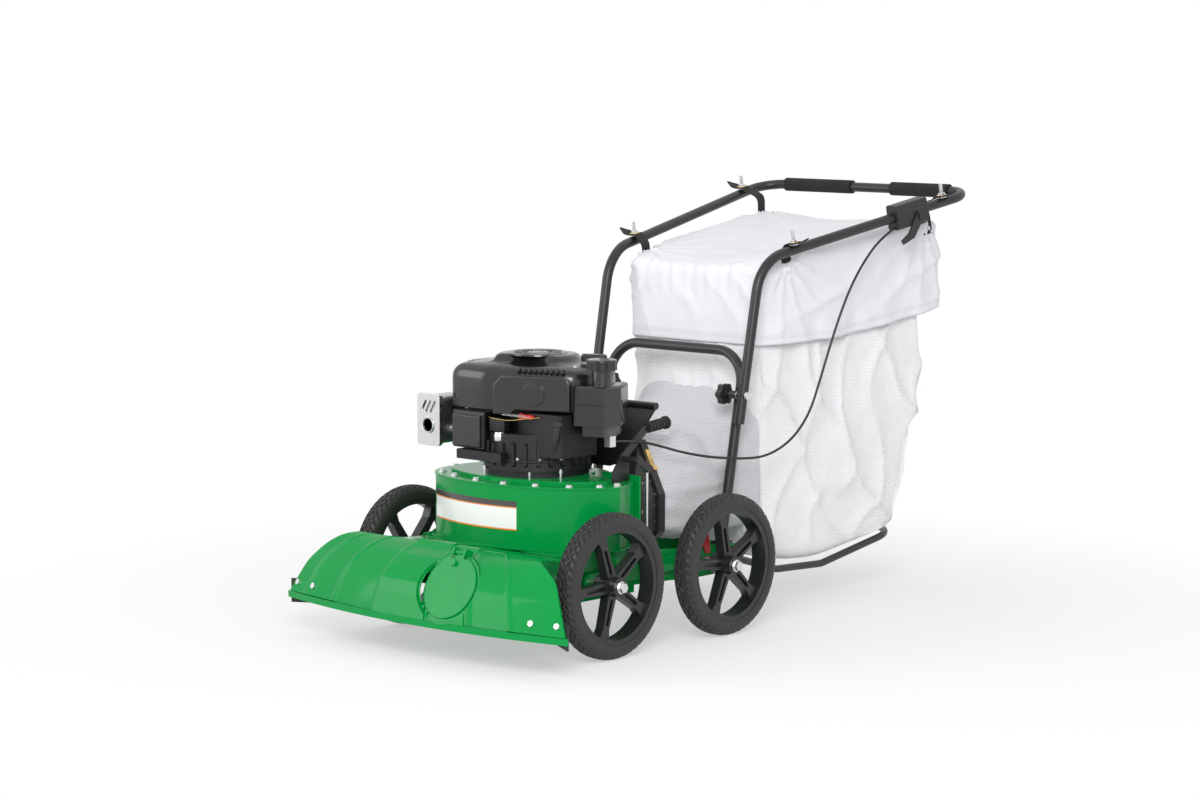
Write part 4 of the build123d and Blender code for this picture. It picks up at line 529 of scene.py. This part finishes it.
def body_place(i, j, k):
    """A corner of the bag's mesh body, its back hanging slack under the upper cloth."""
    behind, z = 800.0, 400.0
    front = BAG_FRONT + BODY_GAP
    for _ in range(SETTLING_ROUNDS):
        floor = between(BAG_FLOOR, behind)
        z = floor + (between(HEM, behind) + BODY_TUCK - floor) * k
        behind = front + (between(BODY_BACK, z) - front) * j
    slack = math.sin(math.pi * k) * math.sin(math.pi * min(1, j * 1.1))
    return spot((2 * i - 1) * (bag_half(behind) - 3 - 5 * k + 3 * slack), behind, z)


def body_fold(place, normal):
    """Diagonal pulls from the front top to the back floor and slack upright drapes."""
    x, behind, z = place
    if normal.z < -0.7 or z > 640:
        return 0.0
    if abs(normal.x) > abs(normal.y):
        sweep = (z * 0.62 + behind * 0.78) / 165 + 0.5 * cloud(place, 190) + (0.3 if x > 0 else 0.75)
        droop = (behind * 0.92 - z * 0.22) / 118 + 0.7 * cloud(place, 150)
        deep = 15.0 * ridge(sweep) + 10.0 * ridge(droop) - 9
        slack = 4 * math.sin((behind - 606) / 110 + z / 300)
    else:
        sweep = (x * 0.8 + z * 0.55) / 120 + 0.5 * cloud(place, 140)
        droop = x / 74 + 0.5 * cloud(place, 120)
        deep = 7.0 * ridge(sweep) + 5.0 * ridge(droop) - 5
        slack = 2 * math.sin(x / 60)
    edge = kept((z - 118) / 60)
    return (deep + slack + 2.0 * cloud(place, 42)) * edge


def flap_place(i, j, k):
    """A corner of the smooth upper cloth, from its flaring hem to the sagging top."""
    behind, z = 800.0, 700.0
    for _ in range(SETTLING_ROUNDS):
        low = between(HEM, behind)
        z = low + (between(BAG_TOP, behind) - low) * k
        behind = BAG_FRONT - FLAP_GAP + (between(FLAP_BACK, z) - BAG_FRONT + FLAP_GAP) * j
    sag = FLAP_SAG * k ** 4 * math.sin(math.pi * i) ** 0.8 * math.sin(math.pi * (0.12 + 0.76 * j))
    return spot((2 * i - 1) * (bag_half(behind) + 1 + 5 * (1 - k)), behind, z - sag)


def flap_fold(place, normal):
    """Pulls that fan out from the hanging straps, a wavy hem and a puckered front seam."""
    x, behind, z = place
    total = 1.6 * cloud(place, 38) + 3.0 * cloud(place, 110)
    low = max(0.0, 1 - (z - between(HEM, behind)) / 90)
    if abs(normal.x) > 0.6 or normal.y > 0.6:
        total += low * 4.5 * math.sin(behind / 26 + x / 31 + 2 * cloud(place, 80))
        sweep = (z * 0.9 - behind * 0.42) / 96 + 0.6 * cloud(place, 160)
        total += 8.5 * ridge(sweep) * (1 - low) - 2
    elif normal.y < -0.6:
        sweep = (x * 0.72 + z * 0.3) / 88 + 0.6 * cloud(place, 120)
        total += 3.2 * ridge(sweep) + low * 2.0 * math.sin(x / 24)
    for stud_behind in STUDS_BEHIND:
        dx, db = abs(x) - bag_half(stud_behind), behind - stud_behind
        dz = z - between(BAG_TOP, stud_behind)
        reach = math.sqrt(dx * dx + db * db + dz * dz)
        fan = math.atan2(db, 1 + abs(dx) + abs(dz))
        total += 10.0 * math.exp(-reach / 130) * ridge(fan * 2.6 + 0.2)
    pucker = math.exp(-((behind - SEAM_BEHIND) / 14) ** 2) if z > 700 else 0.0
    return total + pucker * 2.2 * math.sin(x / 5.5)


# Each row: behind, left, right, bottom, top, the slant across and down, and the cut of the other corners.
SLEEVE_ROWS = (
    (262.6, 100, 200, 214, 412, 54, 109, 14), (284, 99, 200, 213, 412, 54, 109, 15),
    (306, 84, 203, 204, 405, 54, 100, 22), (345, 48, 202, 196, 407, 52, 96, 26),
    (400, 0, 198, 188, 415, 50, 90, 30), (450, -58, 188, 185, 412, 54, 84, 34),
    (490, -106, 179, 184, 412, 60, 80, 36), (550, -142, 181, 186, 450, 60, 74, 40),
    (616, -178, 184, 190, 498, 60, 70, 40),
)
SLEEVE_START, SLEEVE_MIDDLE = 262, (110, 300)


def sleeve_ring(row):
    """One ring of the sleeve, its upper left side cut at a slant."""
    behind, left, right, bottom, top, slant_x, slant_z, cut = row
    corners = (
        (left, bottom + cut), (left + cut, bottom), (right - cut, bottom), (right, bottom + cut),
        (right, top - slant_z), (right - slant_x, top), (left + cut, top), (left, top - cut),
    )
    return [Vector((place.x, behind, place.y)) for place in soft_outline(corners, 10, 6)]


def sleeve_fold(place, normal):
    """Gathers behind the clamp that run out into long slack folds."""
    x, behind, z = place
    gather = math.exp(-(behind - 272) / 60)
    round_it = math.atan2(z - SLEEVE_MIDDLE[1], x - SLEEVE_MIDDLE[0])
    total = gather * 2.6 * math.sin(round_it * 17 + cloud(place, 60)) + 1.8 * cloud(place, 40)
    along = 5.5 * ridge(round_it * 2.1 + behind / 420 + 0.6 * cloud(place, 140)) - 2
    middle = math.sin(math.pi * kept((behind - 270) / 330))
    return (total + along * middle) * min(1.0, (behind - SLEEVE_START) / 24)


def collection_bag():
    """Bag body, upper cloth with its hem, and the sleeve to the chute."""
    body = draped(rounded(box_cage(8, 12, 10, body_place), 3), body_fold)
    body_piece = piece("bag_body", body, mesh_cloth, "machine", smooth=60)
    flap = draped(rounded(box_cage(8, 12, 5, flap_place, ("bottom",)), 3), flap_fold)
    flap_piece = piece("bag_upper_cloth", flap, flap_cloth, "machine", smooth=60)
    thicken = flap_piece.modifiers.new("thickness", "SOLIDIFY")
    thicken.thickness = FLAP_SHEET
    rows = [sleeve_ring(row) for row in SLEEVE_ROWS]
    columns = [smooth_line(list(column)) for column in zip(*rows)]
    rings = [[spot(*place) for place in ring] for ring in zip(*columns)]
    sleeve = draped(rounded(lofted(rings, ends=False), 0), sleeve_fold)
    # The sleeve wears the darker cloth, a painted shade.
    sleeve_piece = piece("bag_sleeve", sleeve, sleeve_cloth_painted_shade, "machine", smooth=60)
    for cloth_piece in (body_piece, flap_piece, sleeve_piece):
        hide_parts("bag")


# ---------------------------------------------------------------- hanging straps
HANDLE_KNEE = Vector((220.7, 568.4, 789.4))
HANDLE_RUN = Vector((91.1, 664.4, 128.9))
TUBE_RADIUS = 11.1
STRAP_OVER = TUBE_RADIUS + 3.6
STRAP_HALF, STRAP_THICK_HALF = 16.0, 0.9
STRAP_PLACES = (("front", 0.152, 46.0), ("rear", 0.845, 78.0))


def stud_frame(fraction, side):
    """Where a stud stands on the handle's tube, and its directions: across, along the tube and out."""
    place = HANDLE_KNEE + HANDLE_RUN * fraction
    along = HANDLE_RUN.normalized()
    out = (UP - along * along.z).normalized()
    flip = Vector((side, 1, 1))
    return place * flip, Vector((side, 0, 0)), along * flip, out * flip


def strap(name, fraction, side, hang):
    """A webbing strap over the tube: a pointed tab outside, a bend over it and a tail sewn to the bag."""
    place, across, along, out = stud_frame(fraction, side)
    reach = abs(place.x) - bag_half(place.y)
    line = (
        (44, STRAP_OVER + 13), (30, STRAP_OVER + 6.5), (18, STRAP_OVER + 1.6), (9, STRAP_OVER),
        (0, STRAP_OVER), (-9, STRAP_OVER), (-17, STRAP_OVER - 6),
        (2 - reach, -8), (1.8 - reach, -hang * 0.6), (1.8 - reach, -hang),
    )
    path = smooth_line([Vector(point) for point in line], 6)
    last = len(path) - 1
    shares = (-1, -0.92, -0.5, 0, 0.5, 0.92, 1)
    rings = []
    for i, (shift, rise) in enumerate(path):
        ahead, back = path[min(i + 1, last)], path[max(i - 1, 0)]
        turn = (ahead - back).normalized()
        half = STRAP_HALF * min(1.0, 0.10 + i / last * 5.5)
        ring = []
        for face, order in ((1, shares), (-1, shares[::-1])):
            for s in order:
                thick = face * (STRAP_THICK_HALF - 0.5 * abs(s) ** 6)
                level = across * (shift - turn.y * thick) + out * (rise + turn.x * thick)
                ring.append(spot(*(place + level + along * (s * half))))
        rings.append(ring)
    webbing = piece(name, lofted(rings), strap_cloth, "upper_handle", smooth=50)
    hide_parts("bag_straps")
    base = spot(*(place + out * (STRAP_OVER + 1.6)))
    washer = [(7.9, 0), (10.6, 0), (11, 0.3), (11, 0.9), (10.6, 1.2), (7.9, 1.2)]
    piece(name + "_washer", turned(washer, base, out, 40), brass, "upper_handle")


def hanging_straps():
    for end, fraction, hang in STRAP_PLACES:
        for side_name, side in (("left", 1), ("right", -1)):
            strap(f"strap_{end}_{side_name}", fraction, side, hang)


# ---------------------------------------------------------------- tyres
WHEEL_X, WHEEL_Z, REAR_AXLE = 295.0, 152.4, 367.4
TYRE_ARC = (
    (-20.0, 123.4), (-21.6, 126.5), (-22.0, 131.0), (-22.0, 136.0), (-21.4, 140.2), (-20.2, 143.6),
    (-18.6, 146.4), (-16.6, 148.7), (-14.2, 150.4), (-11.4, 151.4), (-8.0, 152.0), (-4.0, 152.3),
    (0.0, 152.4),
)
TYRE_STEPS = 416
TREAD_BLOCKS, TREAD_DEPTH = 26, 3.6
TREAD_FROM, TREAD_FADE = 141.5, 3


def tread_depth(turn, across):
    """Depth of the grooves between wavy tread blocks, by share of a turn and place across the tread."""
    wave = abs(((turn * TREAD_BLOCKS) % 1) * 2 - 1) - 0.5
    middle = abs(across + 4.2 * wave)
    shoulder = abs(abs(across) - 12.4 - 2.2 * wave)
    half = 0.5 if across > 0 else 0.0
    lean = 0.055 * abs(across) + 0.25 * math.sin(across * 0.9)
    cross = abs(((turn * 2 * TREAD_BLOCKS + half + lean) % 1) - 0.5)
    depth = max(0.0, 1 - middle / 2.1) + max(0.0, 1 - shoulder / 1.7) * 0.8
    if abs(across) > 2.5:
        depth += max(0.0, 1 - cross / 0.2)
    return TREAD_DEPTH * min(1.0, depth * 1.9)


def tyre(corner, x, behind):
    """A solid tyre with a band of wavy tread blocks that runs down onto its shoulders."""
    half = smooth_line([Vector(point) for point in TYRE_ARC], 3)
    profile = half + [Vector((-across, radius)) for across, radius in reversed(half[:-1])]
    rings = []
    for step in range(TYRE_STEPS):
        turn = step / TYRE_STEPS
        angle = 2 * math.pi * turn
        ring = []
        for across, radius in profile:
            if radius > TREAD_FROM:
                radius -= tread_depth(turn, across) * min(1.0, (radius - TREAD_FROM) / TREAD_FADE)
            ahead, rise = radius * math.cos(angle), radius * math.sin(angle)
            ring.append(spot(x + across, behind + ahead, WHEEL_Z + rise))
        rings.append(ring)
    skin = lofted(rings, ends=False, loop=True)
    made = piece(f"tread_{corner}", skin, tyre_rubber, f"wheel_{corner}", smooth=28)
    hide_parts(f"tyre_{corner}")


def tyres():
    for side_name, side in (("left", 1), ("right", -1)):
        tyre(f"front_{side_name}", side * WHEEL_X, 0.0)
        tyre(f"rear_{side_name}", side * WHEEL_X, REAR_AXLE)


# ---------------------------------------------------------------- drum panel
DRUM_CENTRE, DRUM_RADIUS = (-16.25, 282.95), 350.98
PANEL_START, PANEL_END, PANEL_LOW, PANEL_HIGH, PANEL_COLUMNS = -184, 80, 250.0, 312.0, 60


def drum_panel():
    """A plain banded panel stuck on the front of the fan drum."""
    edge = ((0.2, PANEL_LOW), (0.75, PANEL_LOW + 0.4), (0.75, PANEL_HIGH - 0.4), (0.2, PANEL_HIGH))
    rings = []
    for step in range(PANEL_COLUMNS + 1):
        x = PANEL_START + (PANEL_END - PANEL_START) * (step / PANEL_COLUMNS)
        lean = math.asin((x - DRUM_CENTRE[0]) / DRUM_RADIUS)
        ring = []
        for proud, z in edge:
            reach = DRUM_RADIUS + proud
            side, ahead = reach * math.sin(lean), reach * math.cos(lean)
            ring.append(spot(DRUM_CENTRE[0] + side, DRUM_CENTRE[1] - ahead, z))
        rings.append(ring)
    piece("drum_panel", lofted(rings), panel_print, "machine", smooth=30)


# ---------------------------------------------------------------- fan shroud
CRANK = (0.0, 95.0)
SHROUD_PLAN = (
    (-149, 0), (-140, -27), (-50, -29), (-21, -19), (155, 39), (165, 150), (100, 235), (-60, 245),
    (-165, 190), (-183, 90), (-176, 40), (-150, 33),
)
SHROUD_RISE = (
    (492, 3.0), (494, 0.8), (498, 0.0), (556, 0.0), (564, 1.2), (571, 4.2), (577, 9.0), (582, 15.5),
    (585.5, 24.0), (588, 36.0), (590, 48.0), (593, 56.0), (598, 60.5), (603, 64.0), (606.5, 70.0),
    (607.6, 78.0), (607.8, 88.0), (606.2, 92.0), (605.8, 100.0), (606.0, 120.0),
)
DOME_RADIUS, DOME_INSET, DOME_BLEND = 152.0, 24, 30
DOME_FINS, VENTS, VENT_LEAN = 28, 9, math.radians(18.6)


def blower_cover():
    """The fan shroud, with soft edges, a stepped shoulder and a round starter dome."""
    outline = soft_outline(SHROUD_PLAN, 12, 14)
    middle = Vector(CRANK)
    rings = []
    for z, inset in SHROUD_RISE:
        dome_share = kept((inset - DOME_INSET) / DOME_BLEND)
        ring = []
        for place in outline:
            away = place - middle
            reach = away.length - inset
            reach = reach * (1 - dome_share) + min(reach, DOME_RADIUS - inset) * dome_share
            target = middle + away.normalized() * reach
            ring.append(spot(target.x, target.y, z))
        rings.append(ring)
    made = piece("fan_shroud", lofted(rings), engine_gloss, "machine", smooth=40)
    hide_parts("blower_shroud")


def engine_trim():
    """Ring, disc and fins on the starter dome, and the vents of the shroud."""
    centre = spot(*CRANK, 608)
    ring = [(30, -3), (31, 0.4), (54, 0.4), (57, 1.6), (62, 1.6), (65, 0.2), (66, -3)]
    trim("dome_ring", turned(ring, centre, segments=96), "engine_plastic", smooth=30)
    disc = [(24, -3), (24, 0.2), (20, 1.2), (0.5, 1.6)]
    trim("dome_disc", turned(disc, centre, segments=64), "engine_plastic", smooth=30)
    fins = bmesh.new()
    for step in range(DOME_FINS):
        out, side = facing(2 * math.pi * step / DOME_FINS)
        louvre(fins, centre + out * 0.043 + UP * 0.0002, out, side, UP, 0.017, 0.005, 0.0016)
    trim("dome_fins", fins, "engine_plastic", smooth=30)
    vents = bmesh.new()
    along = Vector((math.cos(VENT_LEAN), math.sin(VENT_LEAN), 0))
    outward = Vector((math.sin(VENT_LEAN), -math.cos(VENT_LEAN), 0))
    tilt = (outward + UP).normalized()
    start = spot(-21, -20, 578.5)
    for step in range(VENTS):
        place = start + along * (0.058 + 0.0125 * step) - outward * 0.0065
        louvre(vents, place, (UP - outward).normalized(), along, tilt, 0.013, 0.008, 0.0032)
    trim("shroud_vents", vents, "engine_plastic", smooth=30)


# ---------------------------------------------------------------- hood
PORT = (94.0, -262.0, 159.5)
PORT_CLEAR = 0.0745
# Each row: height, half width, and the reach ahead of the axle in the middle and at the ends.
HOOD_ROWS = (
    (92.0, 403, 292.0, 250.0), (137.0, 379, 281.0, 237.0), (162.0, 364, 270.0, 228.0),
    (190.0, 340, 248.0, 211.0), (209.0, 312, 226.0, 204.0), (221.0, 286, 200.0, 194.0),
    (226.5, 262, 182.0, 180.0),
)
HOOD_COLUMNS, HOOD_PROUD = 260, 3.4
RIB_LINES = (-0.86, -0.60, -0.26, 0.13, 0.42, 0.68)
RIB_RISE, RIB_HALF = 2.6, 4.2


def hood_skin():
    """The bowed sheet over the hood, open round its port, with pressed ribs that fan out to its lip."""
    rings = []
    for z, half, middle, ends in smooth_line([Vector(row) for row in HOOD_ROWS], 5):
        ring = []
        for step in range(HOOD_COLUMNS + 1):
            share = 2 * step / HOOD_COLUMNS - 1
            rib = sum(math.exp(-((share - line) * half / RIB_HALF) ** 2) for line in RIB_LINES)
            out = HOOD_PROUD + RIB_RISE * rib
            reach = middle - (middle - ends) * share ** 2
            ring.append(spot(share * half, -reach - out * 0.92, z + out * 0.38))
        rings.append(ring)
    skin = lofted(rings, closed=False)
    port = spot(*PORT)
    covered = [face for face in skin.faces if (face.calc_center_median() - port).length < PORT_CLEAR]
    bmesh.ops.delete(skin, geom=covered, context="FACES")
    trim("hood_skin", skin, "green_paint", smooth=50)


# ---------------------------------------------------------------- moulded housings
SOFT_FROM, SOFT_SHARP = math.radians(38), math.radians(50)
# Each row: node, the width of its rounded edges in millimetres, slot, body and steps of the rounding.
HOUSINGS = (
    ("fuel_tank", 7, "engine_plastic", "machine", 4),
    ("engine_cover", 1.6, "engine_plastic", "machine", 3),
    ("valve_cover", 2.2, "engine_plastic", "machine", 3),
    ("air_cleaner", 3, "engine_plastic", "machine", 3),
    ("throttle_housing", 5, "black_plastic", "upper_handle", 4),
    ("muffler_guard", 1.2, "guard_steel", "machine", 3),
)


def softened(node, width, finish, body, segments):
    """A moulded node again, with its hard edges rounded by a width in millimetres."""
    mesh = NODES[node].data.copy()
    mesh.name = f"soft_{node}"
    mesh.materials.clear()
    work = bmesh.new()
    work.from_mesh(mesh)
    bmesh.ops.remove_doubles(work, verts=work.verts, dist=0.00002)
    bmesh.ops.dissolve_limit(work, angle_limit=math.radians(1), verts=work.verts, edges=work.edges)
    work.to_mesh(mesh)
    work.free()
    thing = piece(f"soft_{node}", mesh, FINISH[finish], body, smooth=0)
    edge = thing.modifiers.new("edge", "BEVEL")
    edge.width = width / 1000
    edge.segments = segments
    edge.limit_method = "ANGLE"
    edge.angle_limit = SOFT_FROM
    edge.harden_normals = True
    mesh.shade_smooth()
    mesh.set_sharp_from_angle(angle=SOFT_SHARP)
    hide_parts(node)


def moulded_housings():
    """Tank, covers and throttle box with the soft edges of mouldings, and the rim of the exhaust."""
    for row in HOUSINGS:
        softened(*row)
    rim = [(14.2, -1.0), (14.2, 2.6), (15.2, 3.4), (17.0, 3.4), (18.4, 0.4), (18.4, -1.0)]
    trim("outlet_rim", turned(rim, spot(-184.5, -50, 450), (0, -1, 0)), "guard_steel")


# ---------------------------------------------------------------- small engine parts
FOOT_STUDS = ((-52, -14), (62, 4), (112, 46))
SHROUD_SCREWS = ((-118, 4), (-140, 120), (-96, 196), (20, 208), (104, 176), (128, 74))
CRANKCASE_RIBS, CRANKCASE_BOLTS, JOINT_STEPS = 15, 7, 60
SPRING_TURN, SPRING_PITCH, SPRING_RADIUS, SPRING_STEPS = 0.9, 0.62, 2.6, 110


def soft_block(name, centre, size, round_by, finish):
    """A moulded block with rounded edges, sized in millimetres."""
    block = bmesh.new()
    bmesh.ops.create_cube(block, size=1.0)
    for corner in block.verts:
        corner.co = centre + Vector([c * s / 1000 for c, s in zip(corner.co, size)])
    edges = block.edges[:]
    bmesh.ops.bevel(block, geom=edges, offset=round_by / 1000, segments=4, affect="EDGES", profile=0.5)
    trim(name, block, finish, smooth=40)


def carburettor():
    """Carburettor and its bowl, the governor's spring and rod, and the studs of the engine's feet."""
    soft_block("carburettor_body", spot(-10, -12, 462), (44, 22, 30), 4, "cast_alloy")
    under = spot(-8, -12, 428)
    bowl = [(13, 0), (14, 2), (14, 14), (12.5, 17), (12.5, 19), (4, 20)]
    trim("carburettor_bowl", turned(bowl, under), "zinc")
    nut = [(3.2, -5), (4.4, -4.4), (4.4, 0)]
    trim("bowl_nut", turned(nut, under, segments=6), "zinc", smooth=0)
    spring = [spot(-4, -22, 486.5)]
    for i in range(SPRING_STEPS):
        turn = i * SPRING_TURN
        spring.append(spot(
            6 + SPRING_PITCH * i, -22 + SPRING_RADIUS * math.cos(turn), 486.5 + SPRING_RADIUS * math.sin(turn)
        ))
    spring.append(spot(84, -20, 486.5))
    trim("governor_spring", tube(spring, 0.55, 6), "zinc")
    rod = ((-36, -20, 478), (-14, -26, 476), (24, -18, 474), (60, -2, 479), (92, 4, 483))
    trim("governor_rod", tube(smooth_line([spot(*place) for place in rod]), 1.0), "brass")
    stud = [(2.6, 0), (2.6, 13), (4.6, 13), (4.6, 17), (2.6, 17.4), (2.2, 20)]
    for index, (x, behind) in enumerate(FOOT_STUDS):
        trim(f"foot_stud_{index}", turned(stud, spot(x, behind, 352), segments=18), "zinc", smooth=30)


def sump_details():
    """Ribs round the crankcase, its joint and bolts, the oil filler and the screws of the shroud."""
    middle = spot(*CRANK, 0)
    ribs = bmesh.new()
    for step in range(CRANKCASE_RIBS):
        out, side = facing(math.radians(-165 + 13.2 * step))
        louvre(ribs, middle + out * 0.1158 + UP * 0.402, UP, side, out, 0.052, 0.009, 0.0052)
    trim("crankcase_ribs", ribs, "cast_alloy", smooth=30)
    band = [(115.6, 386), (118.4, 386), (119.4, 387), (119.4, 391), (118.4, 392), (115.6, 392)]
    joint = []
    for step in range(JOINT_STEPS + 1):
        out, _ = facing(math.radians(-172 + 164 * step / JOINT_STEPS))
        joint.append([middle + out * radius / 1000 + UP * (z / 1000) for radius, z in band])
    trim("crankcase_joint", lofted(joint), "cast_alloy", smooth=30)
    for step in range(CRANKCASE_BOLTS):
        out, _ = facing(math.radians(-160 + 23 * step))
        bolt(f"crankcase_bolt_{step}", middle + out * 0.1172 + UP * 0.392, 3.4)
    neck = ((126, 20, 404), (130, 12, 424), (136, 8, 446), (140, 8, 470))
    trim("oil_filler", tube(smooth_line([spot(*place) for place in neck]), 7.5, 18), "black_plastic")
    cap = [(10.5, 0), (11.5, 1), (11.5, 9), (10, 11), (3, 11.4), (3, 16), (2, 17)]
    trim("oil_cap", turned(cap, spot(140, 8, 468), segments=28), "black_plastic", smooth=30)
    for index, (x, behind) in enumerate(SHROUD_SCREWS):
        bolt(f"shroud_screw_{index}", spot(x, behind, 584.5), 4.2)


TANK_PLAN = ((156, 39), (221, 62), (222, 112), (172, 190), (167, 165))
SEAM_EDGE = ((-2.0, 512.0), (1.6, 512.4), (2.4, 513.6), (1.6, 514.8), (-2.0, 515.2))


def tank_seam():
    """The welded seam that runs round the tank."""
    outline = soft_outline(TANK_PLAN, 10, 3)
    middle = sum(outline, Vector((0, 0))) / len(outline)
    rings = []
    for grow, z in SEAM_EDGE:
        ring = []
        for place in outline:
            away = place - middle
            target = middle + away.normalized() * (away.length + grow)
            ring.append(spot(target.x, target.y, z))
        rings.append(ring)
    trim("tank_seam", lofted(rings), "engine_plastic", smooth=40)


# ---------------------------------------------------------------- throttle cable
CABLE_DIAMETER = 0.0055
CABLE_ROUTE = (
    (197, 116, 432), (199, 190, 427), (201, 262, 409), (203, 322, 391), (212, 392, 375), (226, 440, 368),
    (240, 490, 363), (250, 545, 362), (256, 600, 376), (260, 650, 404), (262, 695, 450), (262, 728, 515),
    (263, 757, 580), (265, 790, 650), (268, 825, 715), (271, 870, 772), (275, 925, 822), (279, 975, 845),
)


def throttle_cable():
    """The sheathed cable from the engine to the throttle box, one smooth curve through the air."""
    curve = bpy.data.curves.new("throttle_cable_run", "CURVE")
    curve.dimensions = "3D"
    curve.bevel_depth = CABLE_DIAMETER / 2
    curve.bevel_resolution = 4
    line = curve.splines.new("NURBS")
    line.points.add(len(CABLE_ROUTE) - 1)
    for point, (x, behind, z) in zip(line.points, CABLE_ROUTE):
        point.co = (*spot(x, behind, z), 1)
    line.order_u = 3
    line.use_endpoint_u = True
    line.resolution_u = 6
    cable = bpy.data.objects.new("throttle_cable_run", curve)
    bpy.context.collection.objects.link(cable)
    curve.materials.append(black_plastic.material)
    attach(cable, "machine")
    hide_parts("throttle_cable")
    x, behind, z = CABLE_ROUTE[0]
    tuple(spot(x, behind, z))


# ---------------------------------------------------------------- studio
WHITE = (1, 1, 1, 1)
FLOOR_HALF, FLOOR_GREY = 14.0, 0.86
GLOW_START, GLOW_WIDTH, GLOW_LEAST = 0.7, 0.9, 0.46
SURROUND_LIGHT = 0.62
LAMPS = (
    ("key", (3.1, -3.7, 2.8), 2.0, 165.0), ("fill", (-2.9, -3.9, 2.0), 2.6, 62.0),
    ("top", (-0.6, 1.0, 4.4), 2.4, 12.0),
)
CAMERA_LENS, CAMERA_SENSOR, CAMERA_RANGE = 93.58, 36.0, 60.0
CAMERA_PLACE = (4.5297, -5.1660, 1.2713)
CAMERA_DIP, CAMERA_ROLL, CAMERA_HEADING = 6.625, -0.10, 42.278


def backdrop_share(surface):
    """One for what the camera sees straight or in a gloss or glass, and nought for light on the object."""
    rays = ("Camera", "Glossy", "Transmission")
    seen = [surface.node("ShaderNodeLightPath", output=f"Is {ray} Ray") for ray in rays]
    return seen[0].math("MAXIMUM", seen[1]).math("MAXIMUM", seen[2])


def floor_and_surround(scene):
    """A pale floor that glows into a white surround away from the object."""
    floor_mesh = bpy.data.meshes.new("floor")
    corners = [(x * FLOOR_HALF, y * FLOOR_HALF, 0) for x, y in ((-1, -1), (1, -1), (1, 1), (-1, 1))]
    floor_mesh.from_pydata(corners, [], [(0, 1, 2, 3)])
    floor = bpy.data.objects.new("floor", floor_mesh)
    scene.collection.objects.link(floor)
    pale = Surface("pale_floor", (FLOOR_GREY,) * 3, 0.9)
    away = pale.node("ShaderNodeVectorMath", [pale.place()], output="Value", operation="LENGTH")
    far = ((away - GLOW_START) / GLOW_WIDTH).clamp()
    glow = pale.node("ShaderNodeEmission", [WHITE, 1.0])
    share = backdrop_share(pale) * (far * (1 - GLOW_LEAST) + GLOW_LEAST)
    lit = pale.node("ShaderNodeMixShader", [share, Field(pale, pale.shader.outputs[0]), glow])
    pale.feed(pale.tree.nodes["Material Output"].inputs["Surface"], lit)
    floor_mesh.materials.append(pale.material)

    surround = bpy.data.worlds.new("studio")
    scene.world = surround
    surround.use_nodes = True
    sky = Surround(surround.node_tree)
    seen = backdrop_share(sky)
    light = sky.node("ShaderNodeBackground", [WHITE, SURROUND_LIGHT])
    white = sky.node("ShaderNodeBackground", [WHITE, 1.0])
    mixed = sky.node("ShaderNodeMixShader", [seen, light, white])
    sky.feed(sky.tree.nodes["World Output"].inputs["Surface"], mixed)


def studio():
    """Floor, surround, soft lights and the camera."""
    scene = bpy.context.scene
    floor_and_surround(scene)
    middle = Vector((0, 0, 0.4))
    for name, place, size, power in LAMPS:
        lamp = bpy.data.lights.new(name, "AREA")
        lamp.size = size
        lamp.energy = power
        thing = bpy.data.objects.new(name, lamp)
        thing.location = place
        thing.rotation_euler = (middle - Vector(place)).to_track_quat("-Z", "Y").to_euler()
        scene.collection.objects.link(thing)

    view = bpy.data.cameras.new("camera")
    view.lens = CAMERA_LENS
    view.sensor_width = CAMERA_SENSOR
    view.clip_end = CAMERA_RANGE
    camera = bpy.data.objects.new("camera", view)
    camera.location = CAMERA_PLACE
    camera.rotation_euler = [math.radians(angle) for angle in (90 - CAMERA_DIP, CAMERA_ROLL, CAMERA_HEADING)]
    scene.collection.objects.link(camera)
    scene.camera = camera
    scene.view_settings.view_transform = "Standard"


dress_frame()
studio()
throttle_cable()
collection_bag()
hanging_straps()
tyres()
drum_panel()
blower_cover()
moulded_housings()
engine_trim()
carburettor()
sump_details()
tank_seam()
hood_skin()
